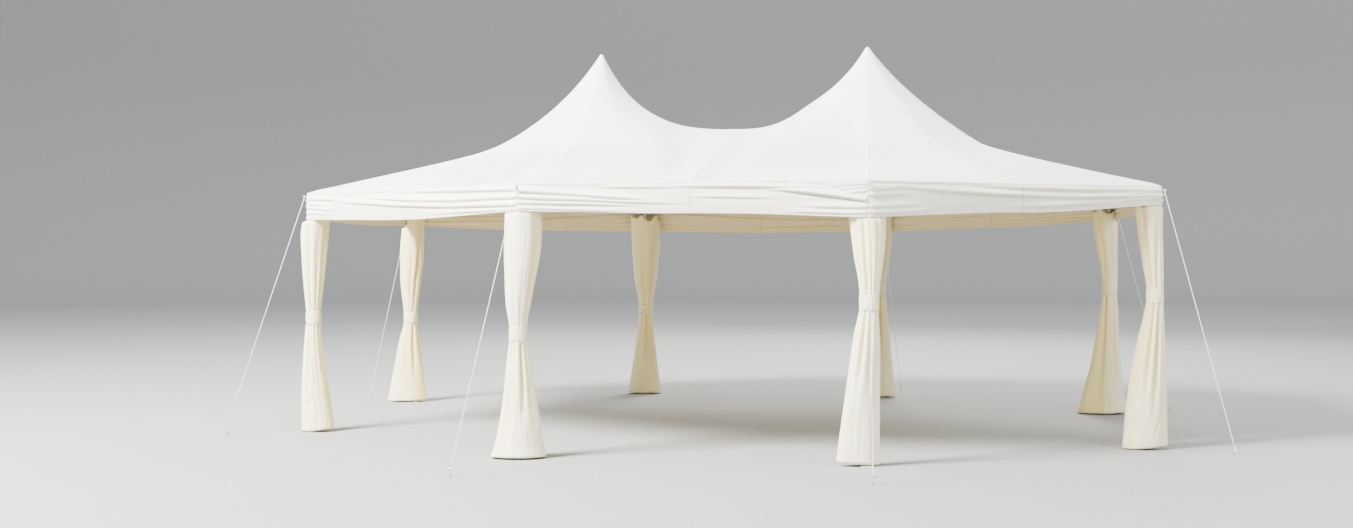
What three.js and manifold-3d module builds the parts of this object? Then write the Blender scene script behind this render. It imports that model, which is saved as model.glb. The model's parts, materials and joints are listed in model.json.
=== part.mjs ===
// Twin-peak party marquee: an eight-legged steel frame under a stretched roof cover
// with a valance, eight tied leg curtains and eight guy lines.
// Millimetres, +Z up, +X along the length, -Y to the front, origin on the ground at the middle.
import * as THREE from 'three';
import { mergeVertices } from 'three/addons/utils/BufferGeometryUtils.js';
import Module from 'manifold-3d';

const wasm = await Module();
wasm.setup();

// Driving dimensions
const gap = 0.3; // left between pieces that touch
const cloth = 4; // thickness of the roof and valance
const eave = { halfLength: 3420, halfWidth: 2520, height: 1985 };
const peaks = [
  { name: 'left', side: -1, x: -1180, height: 3262, curl: 115 },
  { name: 'right', side: 1, x: 1180, height: 3272, curl: 260 },
];
const roof = {
  flatsApex: 2610, // where the flat panels of one peak would meet
  saddle: 2584,
  saddleBend: 80,
  spireSlope: 0.66,
  spireDrop: 205, // how far the cloth plunges close to the mast
  blend: 60, // softness of the turn from spire to flat panel
  tip: 10, // radius of the level spot on the mast cap
  rings: 10,
  ringSpread: 1.8, // packs the rings towards the peak
  rimSteps: [2, 4, 4, 4, 2], // from the front middle round to the back middle
  valleySteps: 8,
};
const frame = { inset: 45, tube: 14, arm: 17.5, post: 19, collar: 22.5, sides: 10 };
const rail = { height: 1930, armLength: 75 };
const rafter = { armLength: 90 };
const head = { bottom: 1913, top: 1978 };
const seat = { leg: 22, hub: 32, slack: 2 }; // how close a tube's bore comes to the upright
const plate = { size: 100, thickness: 5 };
const lug = { height: 1955, radius: 4, reach: 26, button: 8, buttonLength: 5, hole: 5.5, sides: 8 };
const hub = { radius: 30, bottom: 2530, top: 2620 };
const mast = { radius: 16, shoulder: 3195, tip: 9 };
const curtain = {
  wall: 9,
  hem: 22, // height of the bottom edge
  tieHeight: 105,
  topDepth: 96,
  topShift: 60, // the top hangs inward of the leg, behind the valance
  waist: 64,
  waistDepth: 54,
  hemDepth: 0.7, // front-to-back share of the hem's width
  ringsAbove: [0.75, 0.45, 0.22], // shares of the way from the tie to the top
  ringsBelow: [0.3, 0.6], // and from the tie to the hem
  sides: 12,
};
const rope = { radius: 2.5, sides: 8, loop: 7.2, loopSides: 6, loopSteps: 10, eyeReach: 14 };
const peg = { radius: 5, height: 62, buried: 40, lean: 0.45, bar: 52, barRadius: 4, knot: 34, sides: 8 };
const earth = { size: 400, depth: 200 }; // block that trims a peg off at ground level

// Each leg stands at a corner: "end" corners close the short ends, "side" corners the long sides.
// The valance's hem lies at a height of its own at each corner.
// Its curtain: half the top's width, the middle of the tie band, how far the waist sits off the
// leg along the length, and how far the hem spreads to the left and right of the leg.
// Its peg lies reach out from the leg, turned by bearing from the end's or the side's own axis.
const leg = (name, kind, x, y, valanceHem, drape, guy) => (
  { name, kind, x, y, valanceHem, ...drape, ...guy }
);
const far = { reach: 679, bearing: 30 };
const wide = { reach: 950, bearing: 13 };
const upright = { reach: 815, bearing: 4 };
const near = { reach: 566, bearing: 27 };
const legs = [
  leg('left_front', 'end', -1, -1, 1762, { top: 115, tie: 945, waist: 8, hem: [-91, 182] }, far),
  leg('front_left', 'side', -1, -1, 1782, { top: 135, tie: 895, waist: -17, hem: [-217, 187] }, wide),
  leg('front_right', 'side', 1, -1, 1727, { top: 130, tie: 1135, waist: 12, hem: [-216, 87] }, upright),
  leg('right_front', 'end', 1, -1, 1845, { top: 108, tie: 1160, waist: -7, hem: [-250, 91] }, near),
  leg('right_back', 'end', 1, 1, 1800, { top: 120, tie: 1165, waist: 4, hem: [-286, 161] }, far),
  leg('back_right', 'side', 1, 1, 1723, { top: 130, tie: 1100, waist: 0, hem: [-170, 170] }, wide),
  leg('back_left', 'side', -1, 1, 1731, { top: 150, tie: 900, waist: 8, hem: [-180, 180] }, wide),
  leg('left_back', 'end', -1, 1, 1770, { top: 118, tie: 845, waist: -25, hem: [-271, 120] }, far),
];

// Eight equal sides: half a side from the length and the width
const { halfLength, halfWidth } = eave;
const span = halfLength + halfWidth;
const halfSide = (Math.sqrt(span ** 2 + 2 * (halfLength ** 2 + halfWidth ** 2)) - span) / 2;
const slant = new THREE.Vector2(halfWidth - halfSide, halfLength - halfSide).normalize();
const slantReach = slant.x * halfLength + slant.y * halfSide;

// A corner of the eight-sided outline drawn in by an inset
const cornerAt = (post, inset = 0) => {
  const reach = slantReach - inset;
  const length = halfLength - inset;
  const width = halfWidth - inset;
  return post.kind === 'end'
    ? new THREE.Vector2(post.x * length, post.y * (reach - slant.x * length) / slant.y)
    : new THREE.Vector2(post.x * (reach - slant.y * width) / slant.x, post.y * width);
};

const at = (point, z) => new THREE.Vector3(point.x, point.y, z);
const zAxis = new THREE.Vector3(0, 0, 1);
const mix = THREE.MathUtils.lerp;

// Solids and surfaces
const welded = (geometry) => {
  geometry.deleteAttribute('normal');
  geometry.deleteAttribute('uv');
  return mergeVertices(geometry);
};

const solid = (geometry) => {
  const shape = geometry.attributes.normal ? welded(geometry) : geometry;
  const mesh = new wasm.Mesh({
    numProp: 3,
    vertProperties: new Float32Array(shape.attributes.position.array),
    triVerts: new Uint32Array(shape.index.array),
  });
  return new wasm.Manifold(mesh);
};

const surface = (body) => {
  const mesh = body.getMesh();
  const geometry = new THREE.BufferGeometry();
  geometry.setAttribute('position', new THREE.BufferAttribute(mesh.vertProperties, 3));
  geometry.setIndex(new THREE.BufferAttribute(mesh.triVerts, 1));
  return geometry;
};

const joined = (parts) => parts.reduce((whole, part) => whole.add(part));

// Turns a closed surface the right way out after its points were moved
const facingOut = (geometry) => {
  const { array } = geometry.index;
  const place = geometry.attributes.position;
  const corner = [0, 1, 2].map(() => new THREE.Vector3());
  let volume = 0;
  for (let i = 0; i < array.length; i += 3) {
    corner.forEach((vector, k) => vector.fromBufferAttribute(place, array[i + k]));
    volume += corner[0].dot(corner[1].cross(corner[2]));
  }
  if (volume < 0) {
    for (let i = 0; i < array.length; i += 3) [array[i], array[i + 1]] = [array[i + 1], array[i]];
  }
  return geometry;
};

const moved = (geometry, place) => {
  const position = geometry.attributes.position;
  const point = new THREE.Vector3();
  for (let i = 0; i < position.count; i += 1) {
    place(point.fromBufferAttribute(position, i));
    position.setXYZ(i, point.x, point.y, point.z);
  }
  return facingOut(geometry);
};

// A prism of a section laid from one point to another
const along = (section, start, end) => {
  const way = end.clone().sub(start);
  const geometry = new THREE.ExtrudeGeometry(section, { depth: way.length(), bevelEnabled: false });
  geometry.applyQuaternion(new THREE.Quaternion().setFromUnitVectors(zAxis, way.normalize()));
  return geometry.translate(start.x, start.y, start.z);
};

const polygon = (radius, sides = frame.sides) => {
  const points = [];
  for (let i = 0; i < sides; i += 1) {
    const turn = (2 * Math.PI * i) / sides;
    points.push(new THREE.Vector2(radius * Math.cos(turn), radius * Math.sin(turn)));
  }
  return points;
};

const bar = (start, end, radius, sides) => (
  solid(along(new THREE.Shape(polygon(radius, sides)), start, end))
);

const tube = (start, end, radius, wall = 1.5) => {
  const section = new THREE.Shape(polygon(radius));
  section.holes.push(new THREE.Path(polygon(radius - wall)));
  return along(section, start, end);
};

// A line with both ends drawn in
const shortened = (line, atStart, atEnd) => {
  const way = line.end.clone().sub(line.start).normalize();
  return {
    start: line.start.clone().addScaledVector(way, atStart),
    end: line.end.clone().addScaledVector(way, -atEnd),
  };
};

// Materials
const paint = (color, roughness, metalness = 0) => (
  () => new THREE.MeshStandardMaterial({ color, roughness, metalness })
);
const finishes = {
  roofCloth: paint(0xf5f4ee, 0.75),
  valanceCloth: paint(0xefede1, 0.8),
  curtainCloth: paint(0xebe5cd, 0.85),
  steel: paint(0xdcdcd8, 0.4, 0.3),
  cord: paint(0xeae6da, 0.9),
};

const marquee = new THREE.Group();
const add = (name, shape, finish) => {
  const geometry = shape instanceof THREE.BufferGeometry ? shape : surface(shape);
  const mesh = new THREE.Mesh(geometry, finishes[finish]());
  mesh.name = name;
  marquee.add(mesh);
};

// Frame lines: rails from leg to leg, rafters from leg to mast, one ridge between the masts
const clothRoom = cloth + 0.5;
const postAt = (post) => cornerAt(post, frame.inset);
const peakOf = (post) => peaks.find((peak) => peak.side === post.x);
const rails = legs.map((post, i) => {
  const next = legs[(i + 1) % legs.length];
  return {
    name: `eave_rail_${post.name}_to_${next.name}`,
    legs: [post, next],
    start: at(postAt(post), rail.height),
    end: at(postAt(next), rail.height),
  };
});

const rafterLine = (post) => {
  const top = new THREE.Vector3(peakOf(post).x, 0, roof.flatsApex);
  const corner = at(cornerAt(post), eave.height);
  const fall = (roof.flatsApex - eave.height) / Math.hypot(corner.x - top.x, corner.y);
  const foot = at(postAt(post), eave.height);
  foot.z = roof.flatsApex - fall * Math.hypot(foot.x - top.x, foot.y);
  const drop = clothRoom + frame.arm * Math.hypot(1, fall);
  foot.z -= drop;
  top.z -= drop;
  return { start: foot, end: top };
};

const ridgeHeight = roof.saddle - clothRoom - frame.tube;
const ridge = {
  start: new THREE.Vector3(peaks[0].x, 0, ridgeHeight),
  end: new THREE.Vector3(peaks[1].x, 0, ridgeHeight),
};

// Sleeves that stick out of a joint along its tubes, and the bores that take the tubes
const sleeve = (from, to, length) => {
  const way = to.clone().sub(from).normalize();
  return bar(from, from.clone().addScaledVector(way, length), frame.arm);
};
const bore = (line, atStart, atEnd) => {
  const cut = shortened(line, atStart, atEnd);
  return bar(cut.start, cut.end, frame.tube + gap);
};

// The way out of a corner, halfway between its two sides
const outward = (post) => cornerAt(post).sub(postAt(post)).normalize();
const cornerReach = (post) => cornerAt(post).distanceTo(postAt(post));
const lugAt = (post, reach) => at(postAt(post).addScaledVector(outward(post), reach), lug.height);

const legSolid = (post) => {
  const foot = postAt(post);
  const base = new THREE.BoxGeometry(plate.size, plate.size, plate.thickness);
  const parts = [
    solid(base.translate(foot.x, foot.y, plate.thickness / 2)),
    bar(at(foot, 0), at(foot, head.top), frame.post),
    bar(at(foot, head.bottom), at(foot, head.top), frame.collar),
  ];
  const bores = [];
  for (const line of rails.filter((one) => one.legs.includes(post))) {
    const other = line.legs[0] === post ? line.end : line.start;
    parts.push(sleeve(at(foot, rail.height), other, rail.armLength));
    bores.push(bore(line, seat.leg, seat.leg));
  }
  const slope = rafterLine(post);
  parts.push(sleeve(slope.start, slope.end, rafter.armLength));
  bores.push(bore(slope, seat.leg, seat.hub));
  const stop = cornerReach(post) + lug.reach;
  parts.push(bar(lugAt(post, 0), lugAt(post, stop), lug.radius, lug.sides));
  parts.push(bar(lugAt(post, stop - lug.buttonLength), lugAt(post, stop), lug.button, lug.sides));
  return joined(parts).subtract(joined(bores));
};

for (const post of legs) add(`leg_${post.name}`, legSolid(post), 'steel');

for (const line of rails) {
  const seated = shortened(line, seat.leg + seat.slack, seat.leg + seat.slack);
  add(line.name, tube(seated.start, seated.end, frame.tube), 'steel');
}

for (const post of legs) {
  const seated = shortened(rafterLine(post), seat.leg + seat.slack, seat.hub + seat.slack);
  add(`rafter_${post.name}`, tube(seated.start, seated.end, frame.tube), 'steel');
}

const ridgeSeated = shortened(ridge, seat.hub + seat.slack, seat.hub + seat.slack);
add('ridge_tube', tube(ridgeSeated.start, ridgeSeated.end, frame.tube), 'steel');

// A mast stands on its hub, which gathers four rafters and one end of the ridge
const mastSolid = (peak) => {
  const capTop = peak.height - clothRoom;
  const profile = [
    [0, hub.bottom], [hub.radius, hub.bottom], [hub.radius, hub.top], [mast.radius, hub.top],
    [mast.radius, mast.shoulder], [mast.tip, capTop - 3], [mast.tip - 3, capTop], [0, capTop],
  ].map(([radius, height]) => new THREE.Vector2(radius, height));
  const turned = welded(new THREE.LatheGeometry(profile, frame.sides)).rotateX(Math.PI / 2);
  const parts = [solid(facingOut(turned.translate(peak.x, 0, 0)))];
  const bores = [];
  for (const post of legs.filter((one) => one.x === peak.side)) {
    const slope = rafterLine(post);
    parts.push(sleeve(slope.end, slope.start, rafter.armLength));
    bores.push(bore(slope, seat.leg, seat.hub));
  }
  const [here, there] = peak.side < 0 ? [ridge.start, ridge.end] : [ridge.end, ridge.start];
  parts.push(sleeve(here, there, rafter.armLength));
  bores.push(bore(ridge, seat.hub, seat.hub));
  return joined(parts).subtract(joined(bores));
};

for (const peak of peaks) add(`peak_mast_${peak.name}`, mastSolid(peak), 'steel');

// Roof cover: from each peak the cloth runs out to the eave and to the valley between the peaks
const valleyHeight = (y) => {
  const sink = (distance) => Math.hypot(distance, roof.saddleBend) - roof.saddleBend;
  return roof.saddle - (roof.saddle - eave.height) * sink(y) / sink(halfWidth);
};

const rimOf = (peak) => {
  const corners = legs.filter((post) => post.x === peak.side)
    .map((post) => at(cornerAt(post), eave.height))
    .sort((a, b) => a.y - b.y);
  const middle = (y) => new THREE.Vector3(0, y, eave.height);
  const stations = [middle(-halfWidth), ...corners, middle(halfWidth)];
  const rim = [];
  roof.rimSteps.forEach((count, i) => {
    for (let k = 0; k < count; k += 1) {
      rim.push(stations[i].clone().lerp(stations[i + 1], k / count));
    }
  });
  for (let k = 0; k < roof.valleySteps; k += 1) {
    const y = halfWidth * (1 - (2 * k) / roof.valleySteps);
    rim.push(new THREE.Vector3(0, y, valleyHeight(y)));
  }
  return rim;
};

const clothHeight = (peak, edge, distance, reach) => {
  if (distance >= reach) return edge.z;
  const run = Math.max(distance - roof.tip, 0);
  const spire = peak.height - roof.spireSlope * run - roof.spireDrop * (1 - Math.exp(-run / peak.curl));
  const flat = roof.flatsApex + (edge.z - roof.flatsApex) * distance / reach;
  return (spire + flat + Math.hypot(spire - flat, roof.blend)) / 2;
};

// Gives the underside of a turned disc the same diagonals as its top, so that the cloth keeps
// its thickness where its faces are twisted. Each face is the triangles a, b, d and c, d, b.
const matchedDiagonals = (geometry) => {
  const { array } = geometry.index;
  const place = geometry.attributes.position;
  for (let i = 0; i < array.length; i += 6) {
    const [a, b, d, c] = array.slice(i, i + 4);
    const isUnderside = [a, b, c, d].every((corner) => place.getY(corner) < 0.5);
    if (isUnderside) array.set([a, b, c, a, c, d], i);
  }
  return geometry;
};

const roofHalf = (peak) => {
  const rim = rimOf(peak);
  const upper = [];
  for (let ring = 0; ring <= roof.rings + 1; ring += 1) upper.push(new THREE.Vector2(ring, 1));
  const lower = upper.map((point) => new THREE.Vector2(point.x, 0)).reverse();
  const disc = welded(new THREE.LatheGeometry([...upper, ...lower], rim.length));
  return moved(matchedDiagonals(disc), (point) => {
    const ring = Math.round(Math.hypot(point.x, point.z));
    const turn = Math.atan2(point.x, point.z) / (2 * Math.PI);
    const edge = rim[(Math.round(turn * rim.length) + rim.length) % rim.length];
    const reach = Math.hypot(edge.x - peak.x, edge.y);
    const share = Math.max(ring - 1, 0) / roof.rings;
    const distance = ring === 0 ? 0 : mix(roof.tip, reach, share ** roof.ringSpread);
    const z = clothHeight(peak, edge, distance, reach) - (point.y > 0.5 ? 0 : cloth);
    point.set(mix(peak.x, edge.x, distance / reach), mix(0, edge.y, distance / reach), z);
  });
};

add('roof_cover', joined(peaks.map((peak) => solid(roofHalf(peak)))), 'roofCloth');

// Valance: one band round the eave, with an eyelet at each corner and a hem that rises and falls
const outlineShape = (inset) => legs.map((post) => cornerAt(post, inset));
const band = new THREE.Shape(outlineShape(0));
band.holes.push(new THREE.Path(outlineShape(cloth)));
const valanceTop = eave.height - cloth - gap;
const nearestLeg = (point) => legs.reduce((best, post) => (
  cornerAt(post).distanceTo(point) < cornerAt(best).distanceTo(point) ? post : best
));
const ring = welded(along(band, new THREE.Vector3(), at({ x: 0, y: 0 }, valanceTop)));
moved(ring, (point) => {
  if (point.z < valanceTop / 2) point.setZ(nearestLeg(new THREE.Vector2(point.x, point.y)).valanceHem);
});
const eyelets = legs.map((post) => (
  bar(lugAt(post, 0), lugAt(post, 2 * cornerReach(post)), lug.hole, lug.sides)
));
add('valance', solid(ring).subtract(joined(eyelets)), 'valanceCloth');

// Leg curtain: a sleeve of cloth round the leg, hung inside the valance and drawn in by a band
const curtainTop = rail.height - frame.arm - gap;

// 0 at the tie band, rising to 1 at the top and at the hem
const openAt = (post, level) => {
  const half = curtain.tieHeight / 2;
  const share = level > post.tie
    ? (level - post.tie - half) / (curtainTop - post.tie - half)
    : (post.tie - half - level) / (post.tie - half - curtain.hem);
  return Math.sin((Math.PI / 2) * Math.max(share, 0));
};

const curtainLevels = (post) => [
  curtainTop,
  ...curtain.ringsAbove.map((share) => mix(post.tie, curtainTop, share)),
  post.tie + curtain.tieHeight / 2,
  post.tie - curtain.tieHeight / 2,
  ...curtain.ringsBelow.map((share) => mix(post.tie, curtain.hem, share)),
  curtain.hem,
];

// Outline of the top, in from the leg and kept inside the corner of the valance
const topOutline = (post, turn, thin) => {
  const out = outward(post);
  const halfTurn = Math.acos(frame.inset / cornerReach(post));
  const across = (post.top - thin) * Math.sin(turn);
  const depth = curtain.topDepth - thin;
  const front = curtain.topShift - depth;
  const wallSide = front + Math.abs(across) * Math.tan(halfTurn);
  const inward = Math.max(curtain.topShift + depth * Math.cos(turn), wallSide);
  return new THREE.Vector2(-out.x * inward - out.y * across, -out.y * inward + out.x * across);
};

const oval = (middle, halfWide, halfDeep, bearing) => (
  new THREE.Vector2(middle + halfWide * Math.cos(bearing), halfDeep * Math.sin(bearing))
);

const curtainGeometry = (post) => {
  const levels = curtainLevels(post);
  const outer = levels.map((level) => new THREE.Vector2(2, level));
  const inner = levels.map((level) => new THREE.Vector2(1, level)).reverse();
  const sleeveGeometry = welded(new THREE.LatheGeometry([...outer, ...inner, outer[0]], curtain.sides));
  const boreRadius = (frame.post + 2 * gap) / Math.cos(Math.PI / curtain.sides);
  const [hemLeft, hemRight] = post.hem;
  const hemWide = (hemRight - hemLeft) / 2;
  const foot = postAt(post);
  const out = outward(post);
  return moved(sleeveGeometry, (point) => {
    const level = point.y;
    const isInner = Math.hypot(point.x, point.z) < 1.5;
    const turn = Math.atan2(point.x, point.z);
    const thin = isInner ? curtain.wall : 0;
    const bearing = Math.atan2(-out.y, -out.x) - turn;
    const spread = level > post.tie
      ? topOutline(post, turn, thin)
      : oval((hemLeft + hemRight) / 2, hemWide - thin, curtain.hemDepth * hemWide - thin, bearing);
    const drawnIn = isInner
      ? oval(0, boreRadius, boreRadius, bearing)
      : oval(post.waist, curtain.waist, curtain.waistDepth, bearing);
    const place = drawnIn.lerp(spread, openAt(post, level)).add(foot);
    point.set(place.x, place.y, level);
  });
};

for (const post of legs) add(`curtain_${post.name}`, curtainGeometry(post), 'curtainCloth');

// Guy line: a loop on the corner lug, a taut rope, and the head of the ground peg it holds to
const guyLine = (post) => {
  const turn = THREE.MathUtils.degToRad(post.bearing);
  const [main, cross] = [Math.cos(turn), Math.sin(turn)];
  const way = post.kind === 'end'
    ? new THREE.Vector2(post.x * main, post.y * cross)
    : new THREE.Vector2(post.x * cross, post.y * main);
  const ground = postAt(post).addScaledVector(way, post.reach);
  const pegAxis = new THREE.Vector3(way.x * peg.lean, way.y * peg.lean, 1);
  const onPeg = (z) => at(ground, 0).addScaledVector(pegAxis, z);
  const eye = lugAt(post, cornerReach(post) + rope.eyeReach);
  const loop = new THREE.TorusGeometry(rope.loop, rope.radius, rope.loopSides, rope.loopSteps);
  const facing = at(outward(post), 0);
  loop.applyQuaternion(new THREE.Quaternion().setFromUnitVectors(zAxis, facing));
  loop.translate(eye.x, eye.y, eye.z);
  const knot = onPeg(peg.knot);
  const ropeStart = eye.clone().setZ(eye.z - rope.loop);
  const barWay = new THREE.Vector3(-way.y, way.x, 0).multiplyScalar(peg.bar / 2);
  const barMiddle = onPeg(peg.height - peg.barRadius);
  const parts = [
    solid(loop),
    bar(ropeStart, knot, rope.radius, rope.sides),
    bar(onPeg(-peg.buried), onPeg(peg.height), peg.radius, peg.sides),
    bar(barMiddle.clone().sub(barWay), barMiddle.clone().add(barWay), peg.barRadius, peg.sides),
  ];
  const below = new THREE.BoxGeometry(earth.size, earth.size, earth.depth);
  return joined(parts).subtract(solid(below.translate(ground.x, ground.y, -earth.depth / 2)));
};

for (const post of legs) add(`guy_line_${post.name}`, guyLine(post), 'cord');

export default marquee;
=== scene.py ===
import bmesh
import bpy
import json
import random
from math import atan2, copysign, cos, degrees, exp, floor, hypot, log1p, pi, radians, sin, sqrt
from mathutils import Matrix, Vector, noise


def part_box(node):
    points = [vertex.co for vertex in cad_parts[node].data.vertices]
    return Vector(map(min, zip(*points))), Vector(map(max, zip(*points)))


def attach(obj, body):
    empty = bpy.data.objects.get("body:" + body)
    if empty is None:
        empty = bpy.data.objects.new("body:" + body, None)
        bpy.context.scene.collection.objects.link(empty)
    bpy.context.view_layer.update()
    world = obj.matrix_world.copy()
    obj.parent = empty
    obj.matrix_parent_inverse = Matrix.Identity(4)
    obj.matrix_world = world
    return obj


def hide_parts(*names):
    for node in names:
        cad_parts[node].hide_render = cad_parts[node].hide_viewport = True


# A twin-peak party marquee: roof cover, valance, tied leg curtains, guy lines and a steel frame
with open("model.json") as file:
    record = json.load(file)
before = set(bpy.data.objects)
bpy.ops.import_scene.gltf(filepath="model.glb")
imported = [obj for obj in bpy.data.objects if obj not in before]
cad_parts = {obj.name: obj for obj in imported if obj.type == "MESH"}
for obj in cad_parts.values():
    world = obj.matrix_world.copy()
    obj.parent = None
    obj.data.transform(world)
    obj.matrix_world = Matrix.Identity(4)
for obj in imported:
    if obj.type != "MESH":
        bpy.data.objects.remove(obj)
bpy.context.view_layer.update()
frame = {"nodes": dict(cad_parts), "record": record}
up = Vector((0, 0, 1))

# Places, most of them from the frame
legNames = ["left_front", "front_left", "front_right", "right_front",
            "right_back", "back_right", "back_left", "left_back"]  # once round the eave
feet = {mount["name"][len("foot_"):]: Vector(mount["pos_m"]) for mount in frame["record"]["mounts"]}
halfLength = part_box("valance")[1].x
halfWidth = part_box("valance")[1].y
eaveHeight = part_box("roof_cover")[0].z + 0.004
span = halfLength + halfWidth
halfSide = (sqrt(span ** 2 + 2 * (halfLength ** 2 + halfWidth ** 2)) - span) / 2
sideLength = 2 * halfSide
perimeter = len(legNames) * sideLength
railHeight = 1.93
lugHeight = 1.955  # of the corners' eyelets, and of the lugs that come out of them


# Small helpers
def smooth(low, high, x):  # 0 below low, 1 above high, soft between
    t = min(max((x - low) / (high - low), 0), 1)
    return t * t * (3 - 2 * t)


def mix(a, b, t):
    return a + (b - a) * t


def curveAt(points, x):  # a soft curve through (x, value) pairs in order of x
    if x <= points[0][0]:
        return points[0][1]
    for i in range(len(points) - 1):
        x0, y0 = points[i]
        x1, y1 = points[i + 1]
        if x <= x1:
            before = points[max(i - 1, 0)]
            after = points[min(i + 2, len(points) - 1)]
            slope0 = (y1 - before[1]) / (x1 - before[0])
            slope1 = (after[1] - y0) / (after[0] - x0)
            run = x1 - x0
            t = (x - x0) / run
            return ((2 * t ** 3 - 3 * t * t + 1) * y0 + (t ** 3 - 2 * t * t + t) * run * slope0
                    + (3 * t * t - 2 * t ** 3) * y1 + (t ** 3 - t * t) * run * slope1)
    return points[-1][1]


def wobble(*place):  # smooth noise from -1 to 1
    return noise.noise(Vector(place))


def bell(x, width):  # 1 at 0 and near nothing past twice the width
    return exp(-(x / width) ** 2)


def above(spot, z):
    return Vector((spot.x, spot.y, z))


def around(centre, across, over, radius, turn):  # a point of a circle
    return centre + (across * cos(turn) + over * sin(turn)) * radius


def cornerOf(name):
    foot = feet[name]
    isEnd = abs(foot.x) > halfWidth
    x = halfLength if isEnd else halfSide
    y = halfSide if isEnd else halfWidth
    return Vector((copysign(x, foot.x), copysign(y, foot.y), 0))


corners = [cornerOf(name) for name in legNames]
sideWays = [(corners[(i + 1) % 8] - corners[i]).normalized() for i in range(8)]
sideNormals = [Vector((way.y, -way.x, 0)) for way in sideWays]
sideReach = [normal.dot(corner) for normal, corner in zip(sideNormals, corners)]
cornerRound = 0.022


def sideAt(s):  # which side a length s from the first corner ends on, and how far along it
    s = s % perimeter
    side = min(int(s / sideLength), 7)
    return side, s - side * sideLength


def outlineAt(s):  # point of the eave at a length s from the first corner, and its way out
    side, along = sideAt(s)
    nearer = side if along < sideLength / 2 else side + 1
    offset = s % perimeter - nearer * sideLength
    if abs(offset) < cornerRound:
        t = (offset / cornerRound + 1) / 2
        before = (nearer - 1) % 8
        here = nearer % 8
        corner = corners[here]
        start = corner - sideWays[before] * cornerRound
        end = corner + sideWays[here] * cornerRound
        point = start * (1 - t) ** 2 + corner * 2 * t * (1 - t) + end * t * t
        return point, sideNormals[before].lerp(sideNormals[here], t).normalized()
    return corners[side] + sideWays[side] * along, sideNormals[side].copy()


def cornerDistance(s):  # along the eave, to the nearest corner
    rest = s % sideLength
    return min(rest, sideLength - rest)


# Meshes
def gridPiece(name, columns, rows, place, closed=False, thickness=None, extra=None):
    # place(u, v) gives a point, the cloth's own coordinates in metres, and a shade from 0 to 1
    bm = bmesh.new()
    uvLayer = bm.loops.layers.uv.new("cloth")
    shadeLayer = bm.verts.layers.float.new("shade")
    bmesh.ops.create_grid(bm, x_segments=columns, y_segments=rows, size=0.5)
    flat = {}
    for vert in bm.verts:
        u, v = vert.co.x + 0.5, vert.co.y + 0.5
        vert.co, flat[vert], vert[shadeLayer] = place(u, v)
    for face in bm.faces:
        for loop in face.loops:
            loop[uvLayer].uv = flat[loop.vert]
    if extra:
        extra(bm)
    if closed:
        bmesh.ops.remove_doubles(bm, verts=bm.verts, dist=0.00002)
    return finishMesh(bm, name, thickness)


def finishMesh(bm, name, thickness=None):
    for face in bm.faces:
        face.smooth = True
    mesh = bpy.data.meshes.new(name)
    bm.to_mesh(mesh)
    bm.free()
    piece = bpy.data.objects.new(name, mesh)
    bpy.context.scene.collection.objects.link(piece)
    if thickness:
        wall = piece.modifiers.new("cloth", "SOLIDIFY")
        wall.thickness = thickness
        wall.offset = -1
        wall.material_offset = 1
        wall.material_offset_rim = 0
    return piece


def absorb(bm, piece):  # moves a piece's mesh into another
    bm.from_mesh(piece.data)
    bpy.data.objects.remove(piece)


def dressed(piece, slot, *materials, replaces=()):
    for material in materials:
        piece.data.materials.append(material)
    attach(piece, "root")
    if replaces:
        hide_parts(*replaces)
    return piece


# Materials
weaveStep = 0.0012
stitchStep = 0.006
seamWidth = 0.028


class Link:  # a socket that can be used in sums, so that shader maths reads as an expression
    def __init__(self, finish, socket):
        self.finish = finish
        self.socket = socket

    def calc(self, operation, first, second=0.0):
        return self.finish.add("ShaderNodeMath", {"operation": operation}, {0: first, 1: second})

    __add__ = __radd__ = lambda self, other: self.calc("ADD", self, other)
    __mul__ = __rmul__ = lambda self, other: self.calc("MULTIPLY", self, other)
    __sub__ = lambda self, other: self.calc("SUBTRACT", self, other)
    __rsub__ = lambda self, other: self.calc("SUBTRACT", other, self)

    def sine(self):
        return self.calc("SINE", self)

    def size(self):  # without its sign
        return self.calc("ABSOLUTE", self)

    def fraction(self):
        return self.calc("FRACT", self)

    def wave(self, low, high):  # 0 below low and 1 above high
        return self.finish.add("ShaderNodeMapRange", {"interpolation_type": "SMOOTHSTEP"},
                               {0: self, 1: low, 2: high})


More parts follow.
